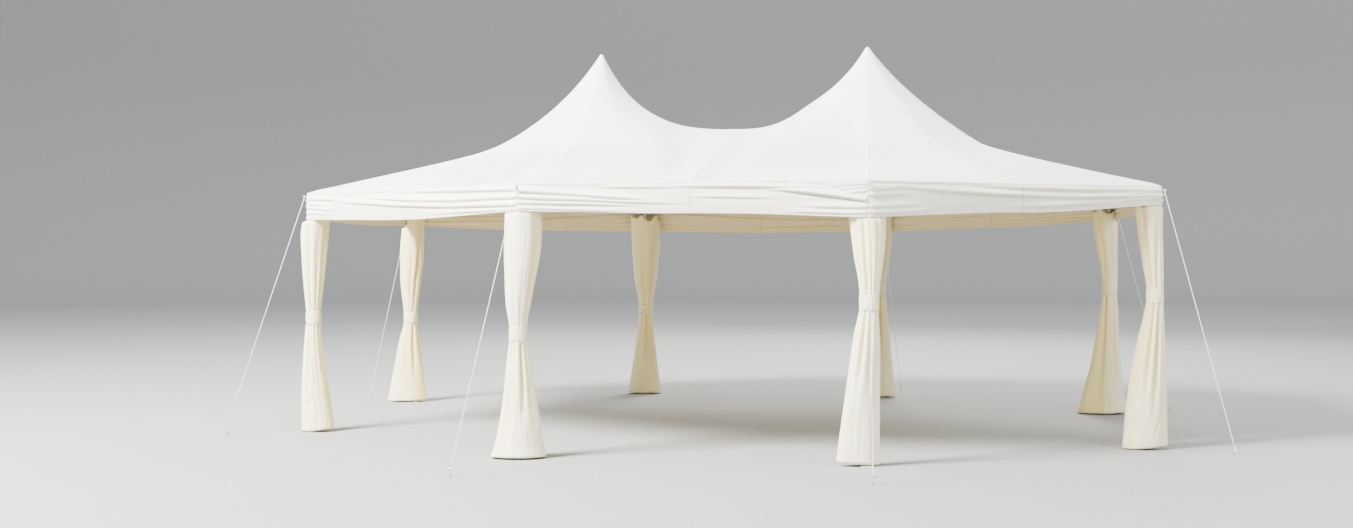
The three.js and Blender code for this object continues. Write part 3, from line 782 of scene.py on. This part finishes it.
curtains = {
    "left_front": dict(
        tie=0.945, deep=(0.85, 0.6), hooks=6, dip=0.035, flatHem=0.15, hemTilt=0.016, snap=-50,
        shape=[(15, -90, 182), (230, -91, 152), (440, -87, 124), (640, -76, 95), (890, -57, 70),
               (1000, -54, 70), (1200, -75, 90), (1410, -96, 105), (1630, -112, 119), (1760, -100, 128),
               (1900, -90, 128)],
        ups=[(-14, -14, 17, 1.1, 11), (26, 34, 14, 1.0, 12), (-54, -48, 8, 0.6, 13), (60, 58, 14, 1.0, 10)],
        downs=[(-30, -20, 22, 0.75, 10), (22, 30, 12, 1.0, 15), (58, 66, 12, 0.9, 13), (-4, 6, 7, 1.0, 12)],
        dents=[(-40, 5, 0.17, 0.3, 10), (-30, 30, 1.48, 1.42, 6)],
    ),
    "front_left": dict(
        tie=0.895, deep=(0.8, 0.62), hooks=6, dip=0.06, flatHem=0.2, hemTilt=0.0, snap=160,
        shape=[(15, -217, 187), (80, -191, 172), (230, -156, 151), (440, -123, 115), (650, -103, 83),
               (840, -82, 50), (950, -80, 48), (1110, -104, 75), (1280, -115, 104), (1470, -124, 139),
               (1650, -124, 150), (1900, -114, 134)],
        ups=[(60, 45, 30, 1.0, 8), (-58, -66, 10, 0.8, 13), (-16, -26, 7, 0.45, 10), (20, 14, 6, 0.35, 9)],
        downs=[(25, 9, 36, 0.72, 8), (-44, -38, 16, 1.15, 13), (54, 44, 15, 1.05, 12),
               (-16, -12, 7, 0.9, 11)],
        dents=[(-65, 10, 1.5, 1.42, 9), (0, 65, 0.34, 0.37, 6)],
    ),
    "front_right": dict(
        tie=1.135, deep=(0.8, 0.3), hooks=8, dip=0.03, flatHem=1.0, hemTilt=-0.008, snap=165,
        shape=[(20, -216, 87), (140, -202, 87), (410, -164, 88), (680, -126, 90), (890, -97, 88),
               (1080, -58, 78), (1180, -55, 84), (1300, -64, 95), (1440, -88, 115), (1580, -105, 131),
               (1730, -123, 138), (1900, -130, 140)],
        ups=[(-52, -52, 16, 1.1, 10), (-24, -20, 26, 1.1, 9), (4, 8, 13, 1.1, 8), (30, 32, 13, 1.1, 8),
             (58, 60, 15, 1.1, 9)],
        downs=[(-30, -10, 32, 0.5, 8), (10, 18, 20, 0.62, 8), (44, 40, 11, 1.0, 9), (-58, -40, 9, 0.5, 9)],
        dents=[(-50, -10, 0.34, 0.2, 16)],
    ),
    "right_front": dict(
        tie=1.16, deep=(0.85, 0.6), hooks=5, dip=0.075, flatHem=0.25, hemTilt=0.016, snap=150,
        shape=[(15, -250, 91), (320, -224, 83), (620, -179, 76), (840, -131, 68), (1100, -75, 59),
               (1220, -71, 58), (1360, -91, 60), (1510, -106, 63), (1660, -122, 67), (1840, -132, 75),
               (1900, -132, 78)],
        ups=[(-36, -50, 26, 1.1, 9), (0, 36, 22, 0.85, 9), (50, 54, 11, 0.9, 11), (-64, -66, 12, 1.0, 9)],
        downs=[(-22, -10, 34, 0.68, 8), (20, 10, 38, 0.8, 8), (52, 40, 13, 1.1, 11),
               (-58, -50, 12, 0.9, 12)],
        dents=[(10, 66, 0.1, 0.42, 14)],
    ),
    "right_back": dict(
        tie=1.165, deep=(0.85, 0.6), hooks=5, dip=0.055, flatHem=0.2, hemTilt=0.006, snap=170,
        shape=[(15, -286, 161), (150, -253, 142), (430, -180, 111), (700, -126, 91), (980, -81, 80),
               (1110, -64, 71), (1220, -64, 79), (1350, -82, 80), (1530, -108, 83), (1710, -135, 89),
               (1900, -149, 94)],
        ups=[(26, 4, 22, 0.9, 9), (-42, -46, 13, 1.1, 12), (58, 60, 12, 1.1, 10)],
        downs=[(36, 32, 32, 0.95, 9), (-44, -26, 32, 1.25, 14), (4, 6, 8, 0.9, 10)],
        dents=[(5, 55, 0.62, 0.62, 6), (5, 60, 0.33, 0.34, 6)],
    ),
    "back_right": dict(
        tie=1.1, deep=(0.8, 0.6), hooks=6, dip=0.045, flatHem=0.3, hemTilt=0.0, snap=30,
        shape=[(15, -170, 170), (250, -142, 142), (500, -115, 115), (800, -88, 88), (1050, -66, 66),
               (1150, -66, 66), (1300, -86, 86), (1500, -111, 111), (1700, -125, 125), (1900, -130, 130)],
        ups=[(-30, -34, 18, 1.0, 10), (28, 34, 18, 1.0, 10), (0, 2, 10, 0.9, 9)],
        downs=[(0, 2, 30, 0.7, 8), (-48, -44, 15, 1.0, 12), (46, 42, 15, 1.0, 12)],
        dents=[(-30, 20, 1.5, 1.46, 4)],
    ),
    "back_left": dict(
        tie=0.9, deep=(0.8, 0.6), hooks=6, dip=0.065, flatHem=0.3, hemTilt=0.0, snap=-25,
        shape=[(15, -180, 180), (400, -120, 125), (850, -66, 80), (950, -67, 83), (1030, -74, 92),
               (1190, -108, 118), (1460, -130, 145), (1740, -148, 161), (1900, -156, 161)],
        ups=[(-10, -16, 14, 1.0, 12), (38, 42, 18, 1.0, 11), (-48, -50, 15, 1.0, 11)],
        downs=[(10, 8, 28, 0.7, 9), (-42, -36, 14, 1.0, 13), (48, 44, 14, 1.0, 12)],
        dents=[(-20, 40, 1.55, 1.6, 4)],
    ),
    # tone: extra painted shade, for the roof's shadow over this curtain
    "left_back": dict(
        tie=0.845, tone=0.25, deep=(0.8, 0.35), hooks=6, dip=0.04, flatHem=0.8, hemTilt=0.004, snap=175,
        shape=[(15, -271, 120), (150, -242, 110), (400, -192, 80), (650, -142, 45), (780, -107, 34),
               (910, -104, 34), (1060, -121, 48), (1230, -138, 67), (1400, -142, 87), (1570, -142, 93),
               (1760, -126, 101), (1900, -120, 110)],
        ups=[(34, 60, 22, 0.85, 9), (-44, -50, 18, 1.1, 9), (0, 22, 12, 0.7, 9)],
        downs=[(38, 30, 28, 0.8, 10), (-8, -12, 13, 1.0, 14), (-48, -44, 11, 0.9, 11)],
        dents=[(0, 55, 1.12, 1.3, 5)],
    ),
}


def softLess(a, limit, blend):  # a, but never over the limit
    return limit - blend * log1p(exp(min((limit - a) / blend, 40))) if a > limit - 8 * blend else a


def roundWobble(turn, scale, height, shift=0):  # noise that meets itself again round a sleeve
    return wobble(cos(turn) * scale, sin(turn) * scale + shift, height)


def tuckAt(turn, count, shift=0):  # 1 on each of so many sharp tucks round a sleeve
    return 1 - abs(sin(count * turn / 2 + shift))


def wrapped(angle):
    return (angle + 180) % 360 - 180


def backPleats(draw):  # turns and widths of the pleats on the side that isn't listed
    start, step = curtain["backPleats"]
    pleats = []
    turn = start
    while turn < 360 - start + 2:
        far = turn + draw.uniform(-5, 5)
        pleats.append((turn, far, draw.uniform(0.7, 1.2), draw.uniform(0.28, 0.4) * step))
        turn += step * draw.uniform(0.85, 1.15)
    return pleats


def makeCurtain(index, name):
    look = curtains[name]
    foot = feet[name]
    draw = random.Random(70 + index)
    lefts = [(z / 1000, left / 1000) for z, left, right in look["shape"]]
    rights = [(z / 1000, right / 1000) for z, left, right in look["shape"]]
    inward = (foot - cornerOf(name)).normalized()
    pleats = backPleats(draw)
    sags = [draw.uniform(0.6, 1.1) for gap in range(look["hooks"])]
    tieLow = look["tie"] - curtain["tieHeight"] / 2
    tieHigh = look["tie"] + curtain["tieHeight"] / 2
    hemZ = lefts[0][0]
    valanceHem = valance["hems"][index]

    def hull(turn, z, spare=0.0):  # the sleeve's outline before its folds, and its middle
        left, right = curveAt(lefts, z), curveAt(rights, z)
        wide = (right - left) / 2 + spare
        rise = smooth(tieHigh, 1.9, z)
        fall = smooth(tieLow, hemZ, z)
        deepShare = mix(mix(0.85, look["deep"][0], rise), look["deep"][1], fall)
        deep = max(wide * deepShare, curtain["leastDeep"])
        slack = curtain["slack"] * rise
        middle = toRight * ((left + right) / 2 - 0.75 * slack * inward.dot(toRight)) + inward * slack
        across = sin(turn)
        ahead = cos(turn)
        pinch = look["flatHem"] * fall  # a flattened hem comes to a point at each side
        across = mix(across, copysign(abs(across) ** 0.8, across), pinch)
        ahead *= mix(1, abs(ahead) ** 0.6, pinch)
        return foot + middle + toRight * (wide * across) + toFront * (deep * ahead), foot + middle

    def pleatAt(angle, middle, width, t):  # 1 in a valley, which is sharp by the tie and round far off
        x = wrapped(angle - middle)
        if abs(x) > 3.5 * width:
            return 0
        return mix(exp(-abs(x) / (width * 0.8)), bell(x, width), smooth(0, 0.5, t))

    def spareCloth(z, front):  # how deep the back pleats have to be to take up the cloth's whole width
        left, right = curveAt(lefts, z), curveAt(rights, z)
        girth = pi * (right - left) * 0.93
        depth = (curtain["flat"][0] - girth - sum(front)) / (1.15 * len(pleats))
        return min(max(depth, 0), ((right - left) / 2 - curtain["legRoom"]) * 0.8)

    def valleyDepth(turn, z):
        if z > tieLow:
            t = max(z - tieHigh, 0) / (curtain["hookHeight"] - tieHigh)
            rows = look["ups"]
        else:
            t = (tieLow - z) / (tieLow - hemZ)
            rows = look["downs"]
        angle = degrees(turn)
        opening = min(1, 0.7 + 4 * t)
        total = 0
        front = []
        for atTie, atEnd, depth, runs, width in rows:
            depth = depth / 1000 * (opening * (1 - smooth(runs * 0.45, runs * 1.12, t)))
            front.append(depth)
            total += depth * pleatAt(angle, mix(atTie, atEnd, t), width * mix(1, 1.6, t), t)
        spare = spareCloth(z, front)
        for atTie, atEnd, share, width in pleats:
            total += spare * share * pleatAt(angle, mix(atTie, atEnd, t), width, t)
        return total

    def gather(turn, z):  # tucks that the band and the hooks pull into the cloth
        reach = exp(-max(abs(z - look["tie"]) - 0.03, 0) / curtain["gatherReach"])
        part = index + (9 if z > look["tie"] else 0)
        vary = max(0.55 + 1.3 * roundWobble(turn, 3, part), 0.05)
        bend = turn + 0.2 * roundWobble(turn, 1.5, z * 1.5, index * 3)
        tucks = curtain["gatherDepth"] * reach * vary * tuckAt(bend, curtain["gathers"])
        count, deep, run = curtain["ruffles"]
        slant = turn + 0.3 * roundWobble(turn, 2, z * 4, index * 5)
        vary = max(0.6 + 1.2 * roundWobble(turn, 2.5, index + 4), 0.3)
        ruffle = deep * vary * exp(-(curtain["hookHeight"] - z) / run) * tuckAt(slant, count)
        waist = curtain["waist"] * exp(-((z - look["tie"]) / (0.5 * curtain["tieHeight"])) ** 4)
        return tucks + ruffle + waist

    def dented(turn, z):
        total = 0
        for first, last, low, high, depth in look["dents"]:
            t = wrapped(degrees(turn) - first) / (last - first)
            if 0 < t < 1:
                x = z - mix(low, high, t)
                total += depth / 1000 * sin(pi * t) * bell(x, 0.012 if x < 0 else 0.035)
        return total

    def hookGap(turn):  # 0 at a hook and 1 half way to the next, and which gap it is
        place = (look["hooks"] * turn / (2 * pi) + index * 0.37) % look["hooks"]
        share = place % 1
        return 4 * share * (1 - share), int(place) % look["hooks"]

    def surface(turn, z):
        point, centre = hull(turn, z)
        away = point - centre
        fold = valleyDepth(turn, z) + gather(turn, z) + dented(turn, z)
        pull, run = curtain["hookPull"]
        inset = fold + pull * (hookGap(turn)[0] - 0.4) * exp(-(curtain["hookHeight"] - z) / run)
        for depth, scale, rise, shift in curtain["wobbles"]:
            inset += depth * roundWobble(turn, scale, z * rise + index * shift)
        point = point - away * (min(inset, away.length * 0.8) / away.length)
        allowed = mix(*curtain["inValance"], smooth(valanceHem - 0.005, valanceHem - 0.07, z))
        for side in (index - 1, index):
            beyond = (point - foot).dot(sideNormals[side])
            point = point - sideNormals[side] * (beyond - softLess(beyond, allowed, 0.004))
        offLeg = point - foot
        if offLeg.length < curtain["legRoom"]:
            point = foot + offLeg.normalized() * curtain["legRoom"]
        return point, fold

    def topHeight(turn):
        sag, gap = hookGap(turn)
        return curtain["hookHeight"] - look["dip"] * sag * sags[gap]

    def facingInShade(way):  # painted light: darker and warmer where the cloth faces in, for the shade under the roof and the light through the cloth
        return 0.7 * (0.5 + 0.5 * way.normalized().dot(inward)) ** 2

    def place(u, v):
        turn = 2 * pi * (u + 0.5)  # the cloth's ends meet at the back
        bottom = hemZ + look["hemTilt"] * sin(turn)
        bottom += curtain["hemWave"] * roundWobble(turn, 1.5, index * 5)
        bottom = max(bottom, curtain["offGround"])
        z = mix(bottom, topHeight(turn), v)
        spot, fold = surface(turn, z)
        # painted shade: a base or the curtain's own tone, more where the cloth faces in under the roof, and
        # more deep in its folds
        shade = look.get("tone", 0.05) + facingInShade(spot - foot) + 0.75 * min(fold / 0.028, 1)
        return above(spot, z), (u * curtain["flat"][0], z - bottom), min(shade, 1)

    piece = gridPiece("curtain_cloth_" + name, curtain["columns"], curtain["rows"], place, closed=True,
                      thickness=curtain["thickness"])
    dressed(piece, "curtain_cloth", curtainCloth, curtainInsidePaintedLight, replaces=["curtain_" + name])
    tieBand = curtain["band"]

    def bandPlace(u, v):
        turn = 2 * pi * (u + 0.5)
        height = curtain["tieHeight"] * (1 + 0.04 * sin(turn + index))
        z = look["tie"] + height * (v - 0.5) + 0.003 * sin(turn * 2 + index * 2)
        point, centre = hull(turn, look["tie"], tieBand["spare"])
        away = (point - centre).normalized()
        tuck = tuckAt(turn, curtain["gathers"], 2 * roundWobble(turn, 1, v, index))
        ripple = -0.0022 * tuck * (0.4 + abs(2 * v - 1)) - 0.0015 * (2 * v - 1) ** 2
        ripple += 0.0022 * roundWobble(turn, 5, z * 14 + index)
        cloth = (u * tieBand["length"], v * curtain["tieHeight"])
        # painted shade: more where the band faces in under the roof and in its tucks
        return above(point + away * ripple, z), cloth, min(0.05 + facingInShade(away) + 0.35 * tuck, 1)

    band = gridPiece("tie_band_" + name, tieBand["columns"], tieBand["rows"], bandPlace, closed=True,
                     thickness=tieBand["thickness"])
    dressed(band, "curtain_cloth", tieCloth, tieCloth, replaces=["curtain_" + name])

    # Rings in the top hem, on a cord that the two rails carry, and the band's snap
    rings = []
    cordPath = []
    cordRadius, lift, dip = curtain["cord"]
    for k in range(look["hooks"]):
        turn = 2 * pi * ((k - index * 0.37) % look["hooks"]) / look["hooks"]
        spot = surface(turn, curtain["hookHeight"] - 0.004)[0]
        way = (spot - foot).normalized()
        spot.z = curtain["hookHeight"] - 0.002
        rings.append(hoop(spot, way, up, curtain["ring"], curtain["wire"]))
        cordPath.append(spot + up * lift)
    cordPath.sort(key=lambda spot: atan2(spot.y - foot.y, spot.x - foot.x))
    cord = []
    for spot, after in zip(cordPath, cordPath[1:] + cordPath[:1]):
        for t in (step / 6 for step in range(6)):
            cord.append(spot.lerp(after, t) - up * dip * sin(pi * t))
    cord.append(cord[0])
    rings.append(sweptPiece("cord", cord, [cordRadius] * len(cord), 8, capped=False))
    for side, way in ((index - 1, -sideWays[index - 1]), (index, sideWays[index])):
        reach = max((spot - foot).dot(way) for spot in cordPath) * 0.75
        spot = above(foot + way * reach, railHeight)
        rings.append(hoop(spot, sideNormals[side], up, curtain["railRing"], curtain["wire"]))
    point, centre = hull(radians(look["snap"]), look["tie"], 0.0055)
    way = (point - centre).normalized()
    point.z = look["tie"] - curtain["snapDrop"]
    rings.append(sweptPiece("snap", [point + way * (rise - 0.0002) for rise, wide in curtain["snap"]],
                            [wide for rise, wide in curtain["snap"]]))
    fittings = joined("curtain_rings_" + name, rings)
    dressed(fittings, "fittings", fittingSteel, replaces=["curtain_" + name])


for index, name in enumerate(legNames):
    makeCurtain(index, name)
print("curtains made")

# Guy lines and pegs
guy = {
    "radius": 0.0027,
    "pitch": 0.021,
    "loop": (0.0072, 0.0024),  # radius of the loop in the eyelet, and of its rope
    "whipping": (0.0036, 0.0012, 0.004, 0.022),  # radius, its cord's radius, where it starts and its length
    "hitch": 0.006,  # half its height up the peg
    "eyeReach": 0.014,
    "knot": 0.034,
    "pegRadius": 0.005,
    "pegHeight": 0.062,
    "lean": 0.45,
    "bar": 0.052,
    "barProfile": [(-1, 0.5), (-0.96, 0.78), (-0.85, 0.85), (0, 0.85), (0.85, 0.85), (0.96, 0.78), (1, 0.5)],
    "step": 0.006,  # of the points along the rope, where its strands turn
}
guyRoutes = {  # how far from the foot the peg stands, and its turn from the end's or the side's own axis
    "left_front": (0.679, 30), "left_back": (0.679, 30), "right_back": (0.679, 30),
    "right_front": (0.566, 27), "front_right": (0.815, 4),
    "front_left": (0.950, 13), "back_left": (0.950, 13), "back_right": (0.950, 13),
}


def makeGuyLine(name):
    reach, bearing = guyRoutes[name]
    foot = feet[name]
    turn = radians(bearing)
    isEnd = abs(foot.x) > halfWidth
    alongX, alongY = (cos(turn), sin(turn)) if isEnd else (sin(turn), cos(turn))
    way = Vector((copysign(alongX, foot.x), copysign(alongY, foot.y), 0))
    ground = foot + way * reach
    axis = Vector((way.x * guy["lean"], way.y * guy["lean"], 1))
    off = cornerOf(name) - foot
    out = off.normalized()
    eye = above(foot + out * (off.length + guy["eyeReach"]), lugHeight)
    knot = ground + axis * guy["knot"]
    loop, wire = guy["loop"]
    start = eye - up * loop
    length = (knot - start).length
    steps = int(length / guy["step"])
    path = [start.lerp(knot, i / steps) for i in range(steps + 1)]
    line = sweptPiece("line", path, [guy["radius"]] * (steps + 1), 12,
                      twist=2 * pi / guy["pitch"] * 3, lobes=3, lobeDepth=0.16)
    loopWay = out.cross(up)
    ring = hoop(eye, up, loopWay, loop, wire, 24, 10)
    radius, wire, first, run = guy["whipping"]
    path = [around(start.lerp(knot, (first + run * k / 60) / length), loopWay, out, radius, pi * k / 6)
            for k in range(61)]
    whipping = sweptPiece("whipping", path, [wire] * 61, 8)
    pegWay = axis.normalized()
    pegSide = pegWay.orthogonal().normalized()
    pegOver = pegWay.cross(pegSide)
    path = [around(knot + pegWay * (guy["hitch"] * (k / 36 - 1)), pegSide, pegOver, loop, pi * k / 12)
            for k in range(73)]  # three turns round the peg
    hitch = sweptPiece("hitch", path, [guy["radius"]] * 73, 8)
    rope = joined("guy_rope_" + name, [line, ring, whipping, hitch])
    dressed(rope, "guy_rope", guyRope, replaces=["guy_line_" + name])

    radius = guy["pegRadius"]
    top = guy["pegHeight"] - 0.004
    shaft = sweptPiece("shaft", [ground + axis * z for z in (0.0, 0.02, 0.04, top)], [radius] * 4)
    barWay = Vector((-way.y, way.x, 0))
    path = [ground + axis * top + barWay * (guy["bar"] / 2 * x) for x, wide in guy["barProfile"]]
    bar = sweptPiece("bar", path, [radius * wide for x, wide in guy["barProfile"]])
    peg = joined("ground_peg_" + name, [shaft, bar])
    for vert in peg.data.vertices:
        vert.co.z = max(vert.co.z, 0)
    dressed(peg, "peg_steel", pegSteel, replaces=["guy_line_" + name])


for name in legNames:
    makeGuyLine(name)
print("guy lines made")

# Steel frame: posts with foot plates and corner joints, hubs with masts, and the tubes between them
steel = {
    "post": 0.019,
    "collar": (0.0225, 1.913, 1.978),  # radius, bottom and top of the corner joint
    "tube": 0.014,
    "sleeve": 0.0175,
    "ridgeHeight": 2.5655,
    "railSleeve": 0.075,
    "rafterSleeve": 0.09,
    "legSeat": 0.024,  # how close a tube's end comes to the middle of a leg and of a hub
    "hubSeat": 0.034,
    "coupling": (0.0156, 0.06),  # radius and half length of the swaged joint half way along a tube
    "plate": (0.1, 0.005),
    "weld": [(-0.001, 0.005), (0.002, 0.003), (0.005, 0)],  # height over the plate, and reach off the post
    "eyelet": [(0.001, 0.0075, 0.0024), (0.0044, 0.0078, 0.0022)],  # its two rings: depth, radius and wire
    "hub": (0.03, 2.53, 2.62),
    "mast": 0.016,
    "cap": [(3.185, 0.0175), (3.195, 0.0178), (3.22, 0.0145), (3.25, 0.0112)],
    "clothRoom": 0.0045,
    "cornerHeight": 1.985,
    "lug": (0.004, 0.026),  # radius and how far it stands out of the corner
    "button": (0.008, 0.005),
    "bolt": (0.0062, 0.0042),
}


def rod(start, end, radius, edge=0.0014, sides=28):
    way = (end - start).normalized() * edge
    return sweptPiece("rod", [start, start + way, end - way, end],
                      [radius - edge, radius, radius, radius - edge], sides)


def boltOn(axisSpot, way, radius):  # a hexagon head with its washer, on a round sleeve
    wide, high = steel["bolt"]
    start = axisSpot + way * (radius - 0.001)
    washer = rod(start, start + way * 0.002, wide * 1.35, 0.0004, 20)
    return [washer, rod(start, start + way * (high + 0.002), wide, 0.0006, 6)]


def sleeveOn(start, way, length, boltWay):  # a sleeve with a rolled lip, and its bolt
    radius = steel["sleeve"]
    lip = rod(start + way * (length - 0.006), start + way * length, radius + 0.0009, 0.0009)
    across = (boltWay - way * boltWay.dot(way)).normalized()
    bolt = boltOn(start + way * (length * 0.68), across, radius)
    return [rod(start, start + way * length, radius), lip], bolt


def rafterLine(name):
    foot = feet[name]
    corner = cornerOf(name)
    top = Vector((copysign(peaks[0]["x"], foot.x), 0, 0))
    fall = (roof["flatsApex"] - steel["cornerHeight"]) / (corner - top).length
    drop = steel["clothRoom"] + steel["sleeve"] * hypot(1, fall)
    low = Vector((foot.x, foot.y, roof["flatsApex"] - fall * (foot.xy - top.xy).length - drop))
    return low, top + up * (roof["flatsApex"] - drop)


def coupledTube(start, end, atStart, atEnd):  # a tube in two lengths, with the joint in its middle
    way = (end - start).normalized()
    radius, half = steel["coupling"]
    middle = (start + end) / 2
    return [rod(start + way * atStart, end - way * atEnd, steel["tube"]),
            rod(middle - way * half, middle + way * half, radius, 0.0016)]


def footPlate(foot):
    size, thick = steel["plate"]
    bm = bmesh.new()
    bmesh.ops.create_cube(bm, size=1)
    bmesh.ops.scale(bm, vec=(size, size, thick), verts=bm.verts)
    upright = [e for e in bm.edges if abs(e.verts[0].co.z - e.verts[1].co.z) > 0.001]
    bmesh.ops.bevel(bm, geom=upright, offset=0.012, segments=5, profile=0.5, affect="EDGES", material=-1)
    rims = [e for e in bm.edges if e.calc_face_angle(0) > 1]
    bmesh.ops.bevel(bm, geom=rims, offset=0.0012, segments=2, profile=0.5, affect="EDGES", material=-1)
    bmesh.ops.translate(bm, vec=(foot.x, foot.y, thick / 2), verts=bm.verts)
    return finishMesh(bm, "plate")


def finished(name, pieces, slot, node):
    piece = joined(name, pieces)
    piece.data.set_sharp_from_angle(angle=radians(40))
    dressed(piece, slot, frameSteel if slot == "frame_steel" else fittingSteel, replaces=[node])


def sleeves(parts):  # the metal and the bolts of several sleeves
    made = [sleeveOn(*part) for part in parts]
    return sum([metal for metal, bolts in made], []), sum([bolts for metal, bolts in made], [])


def makeLeg(index, name):
    foot = feet[name]
    out = cornerOf(name) - foot
    reach = out.length
    out.normalize()
    radius, low, high = steel["collar"]
    thick = steel["plate"][1]
    post = steel["post"]
    weld = sweptPiece("weld", [above(foot, thick + rise) for rise, wide in steel["weld"]],
                      [post + wide for rise, wide in steel["weld"]], 28)
    wire, past = steel["lug"]
    knob, knobLength = steel["button"]
    lug = above(foot, lugHeight)
    lugEnd = lug + out * (reach + past)
    metal = [footPlate(foot), weld, rod(above(foot, thick / 2), above(foot, high + 0.0005), post),
             rod(above(foot, low), above(foot, high), radius), rod(lug, lugEnd, wire, 0.0008, 16),
             rod(lugEnd - out * knobLength, lugEnd, knob, 0.0018, 24)]
    start, end = rafterLine(name)
    ways = (sideWays[index], -sideWays[index - 1])
    parts = [(above(foot, railHeight), way, steel["railSleeve"], -out) for way in ways]
    parts.append((start, (end - start).normalized(), steel["rafterSleeve"], -up))
    tubes, bolts = sleeves(parts)
    finished("leg_post_" + name, metal + tubes, "frame_steel", "leg_" + name)
    finished("leg_bolts_" + name, bolts, "fittings", "leg_" + name)
    rafter = coupledTube(start, end, steel["legSeat"], steel["hubSeat"])
    finished("rafter_tube_" + name, rafter, "frame_steel", "rafter_" + name)

    # The eyelet that lets the lug out through the valance's corner, pressed from two rings
    side = out.cross(up)
    rings = [hoop(lug + out * (reach - depth), side, up, wide, wire) for depth, wide, wire in steel["eyelet"]]
    finished("corner_eyelet_" + name, rings, "fittings", "valance")


def makeMast(peak):
    side = "left" if peak["x"] < 0 else "right"
    centre = Vector((peak["x"], 0, 0))
    radius, low, high = steel["hub"]
    mast = steel["mast"]
    top = peak["height"] - steel["clothRoom"] - roof["thickness"]
    cap = [(min(z, top - 0.003), wide) for z, wide in steel["cap"]] + [(top - 0.003, 0.009), (top, 0.004)]
    metal = [rod(above(centre, low), above(centre, high), radius, 0.002, 40),
             rod(above(centre, low - 0.004), above(centre, low + 0.001), radius * 0.6),
             rod(above(centre, high - 0.001), above(centre, high + 0.03), mast + 0.003),
             rod(above(centre, high), above(centre, 3.19), mast),
             sweptPiece("cap", [above(centre, z) for z, wide in cap], [wide for z, wide in cap], 32)]
    bolts = boltOn(above(centre, high + 0.018), Vector((0, -1, 0)), mast + 0.003)
    rafters = [rafterLine(name) for name in legNames if feet[name].x * peak["x"] > 0]
    parts = [(end, (start - end).normalized(), steel["rafterSleeve"], -up) for start, end in rafters]
    toOther = Vector((-copysign(1, peak["x"]), 0, 0))
    parts.append((above(centre, steel["ridgeHeight"]), toOther, steel["rafterSleeve"], -up))
    tubes, more = sleeves(parts)
    finished("hub_and_mast_" + side, metal + tubes, "frame_steel", "peak_mast_" + side)
    finished("hub_bolts_" + side, bolts + more, "fittings", "peak_mast_" + side)


for index, name in enumerate(legNames):
    makeLeg(index, name)
for peak in peaks:
    makeMast(peak)
for node in list(frame["nodes"]):
    if node.startswith("eave_rail_"):
        ends = [above(feet[name], railHeight) for name in node[len("eave_rail_"):].split("_to_")]
        tube = coupledTube(*ends, steel["legSeat"], steel["legSeat"])
        finished(node.replace("eave_rail", "rail_tube"), tube, "frame_steel", node)
ends = [Vector((peak["x"], 0, steel["ridgeHeight"])) for peak in peaks]
finished("ridge_pole", coupledTube(*ends, steel["hubSeat"], steel["hubSeat"]), "frame_steel", "ridge_tube")
print("steel frame made")

# Stage, light and camera
stage = {"radius": 46, "bend": 9, "height": 15, "steps": 96}


def makeStage():  # a floor that turns up into a backdrop all round
    bm = bmesh.new()
    radius, bend = stage["radius"], stage["bend"]
    path = [Vector((radius, 0, stage["height"]))]
    for angle in (pi / 2 * (1 - k / 16) for k in range(17)):
        path.append(Vector((radius + bend * (sin(angle) - 1), 0, bend * (1 - cos(angle)))))
    path += [Vector((reach, 0, 0)) for reach in (24, 12, 5)]
    verts = [bm.verts.new(spot - up * 0.001) for spot in path]
    edges = [bm.edges.new(pair) for pair in zip(verts, verts[1:])]
    bmesh.ops.spin(bm, geom=verts + edges, cent=(0, 0, 0), axis=up, angle=2 * pi, steps=stage["steps"],
                   use_merge=True)
    middle = [e for e in bm.edges if e.is_boundary and e.verts[0].co.z < 0.1]
    bmesh.ops.holes_fill(bm, edges=middle, sides=stage["steps"] + 1)
    bmesh.ops.recalc_face_normals(bm, faces=bm.faces)
    if bm.faces[0].normal.z < 0:
        bmesh.ops.reverse_faces(bm, faces=bm.faces)
    piece = finishMesh(bm, "studio_floor")
    finish = Finish("studio_floor")
    grain = finish.grain(3, 3)
    color = finish.mixed(grain * 0.5, (0.31, 0.31, 0.305), (0.33, 0.33, 0.325))
    piece.data.materials.append(finish.done(color, 0.85 + grain * 0.1, grain * 0.001))


makeStage()


def softLight(name, place, target, size, power, color):
    light = bpy.data.lights.new(name, "AREA")
    light.shape = "DISK"
    light.size = size
    light.energy = power
    light.color = color
    lamp = bpy.data.objects.new(name, light)
    lamp.location = place
    lamp.rotation_euler = (Vector(target) - Vector(place)).to_track_quat("-Z", "Y").to_euler()
    bpy.context.scene.collection.objects.link(lamp)


softLight("key", (-9, -9, 11), (0, 0, 1.6), 5, 17000, (1, 0.985, 0.955))
softLight("fill", (9, -10, 5), (0, 0, 1.4), 8, 1000, (0.98, 0.99, 1))
softLight("rim", (2, 12, 10), (0, 0, 2), 7, 3000, (1, 0.99, 0.97))

world = bpy.data.worlds.new("sky")
world.use_nodes = True
world.node_tree.nodes["Background"].inputs[0].default_value = (0.93, 0.96, 1, 1)
world.node_tree.nodes["Background"].inputs[1].default_value = 1.5
bpy.context.scene.world = world

view = bpy.data.cameras.new("camera")
view.lens = 37.31
view.sensor_width = 36
camera = bpy.data.objects.new("camera", view)
camera.location = (1.4923, -12.2884, 1.436)
camera.rotation_euler = (radians(90 - 0.2), 0, yaw)
bpy.context.scene.collection.objects.link(camera)
bpy.context.scene.camera = camera
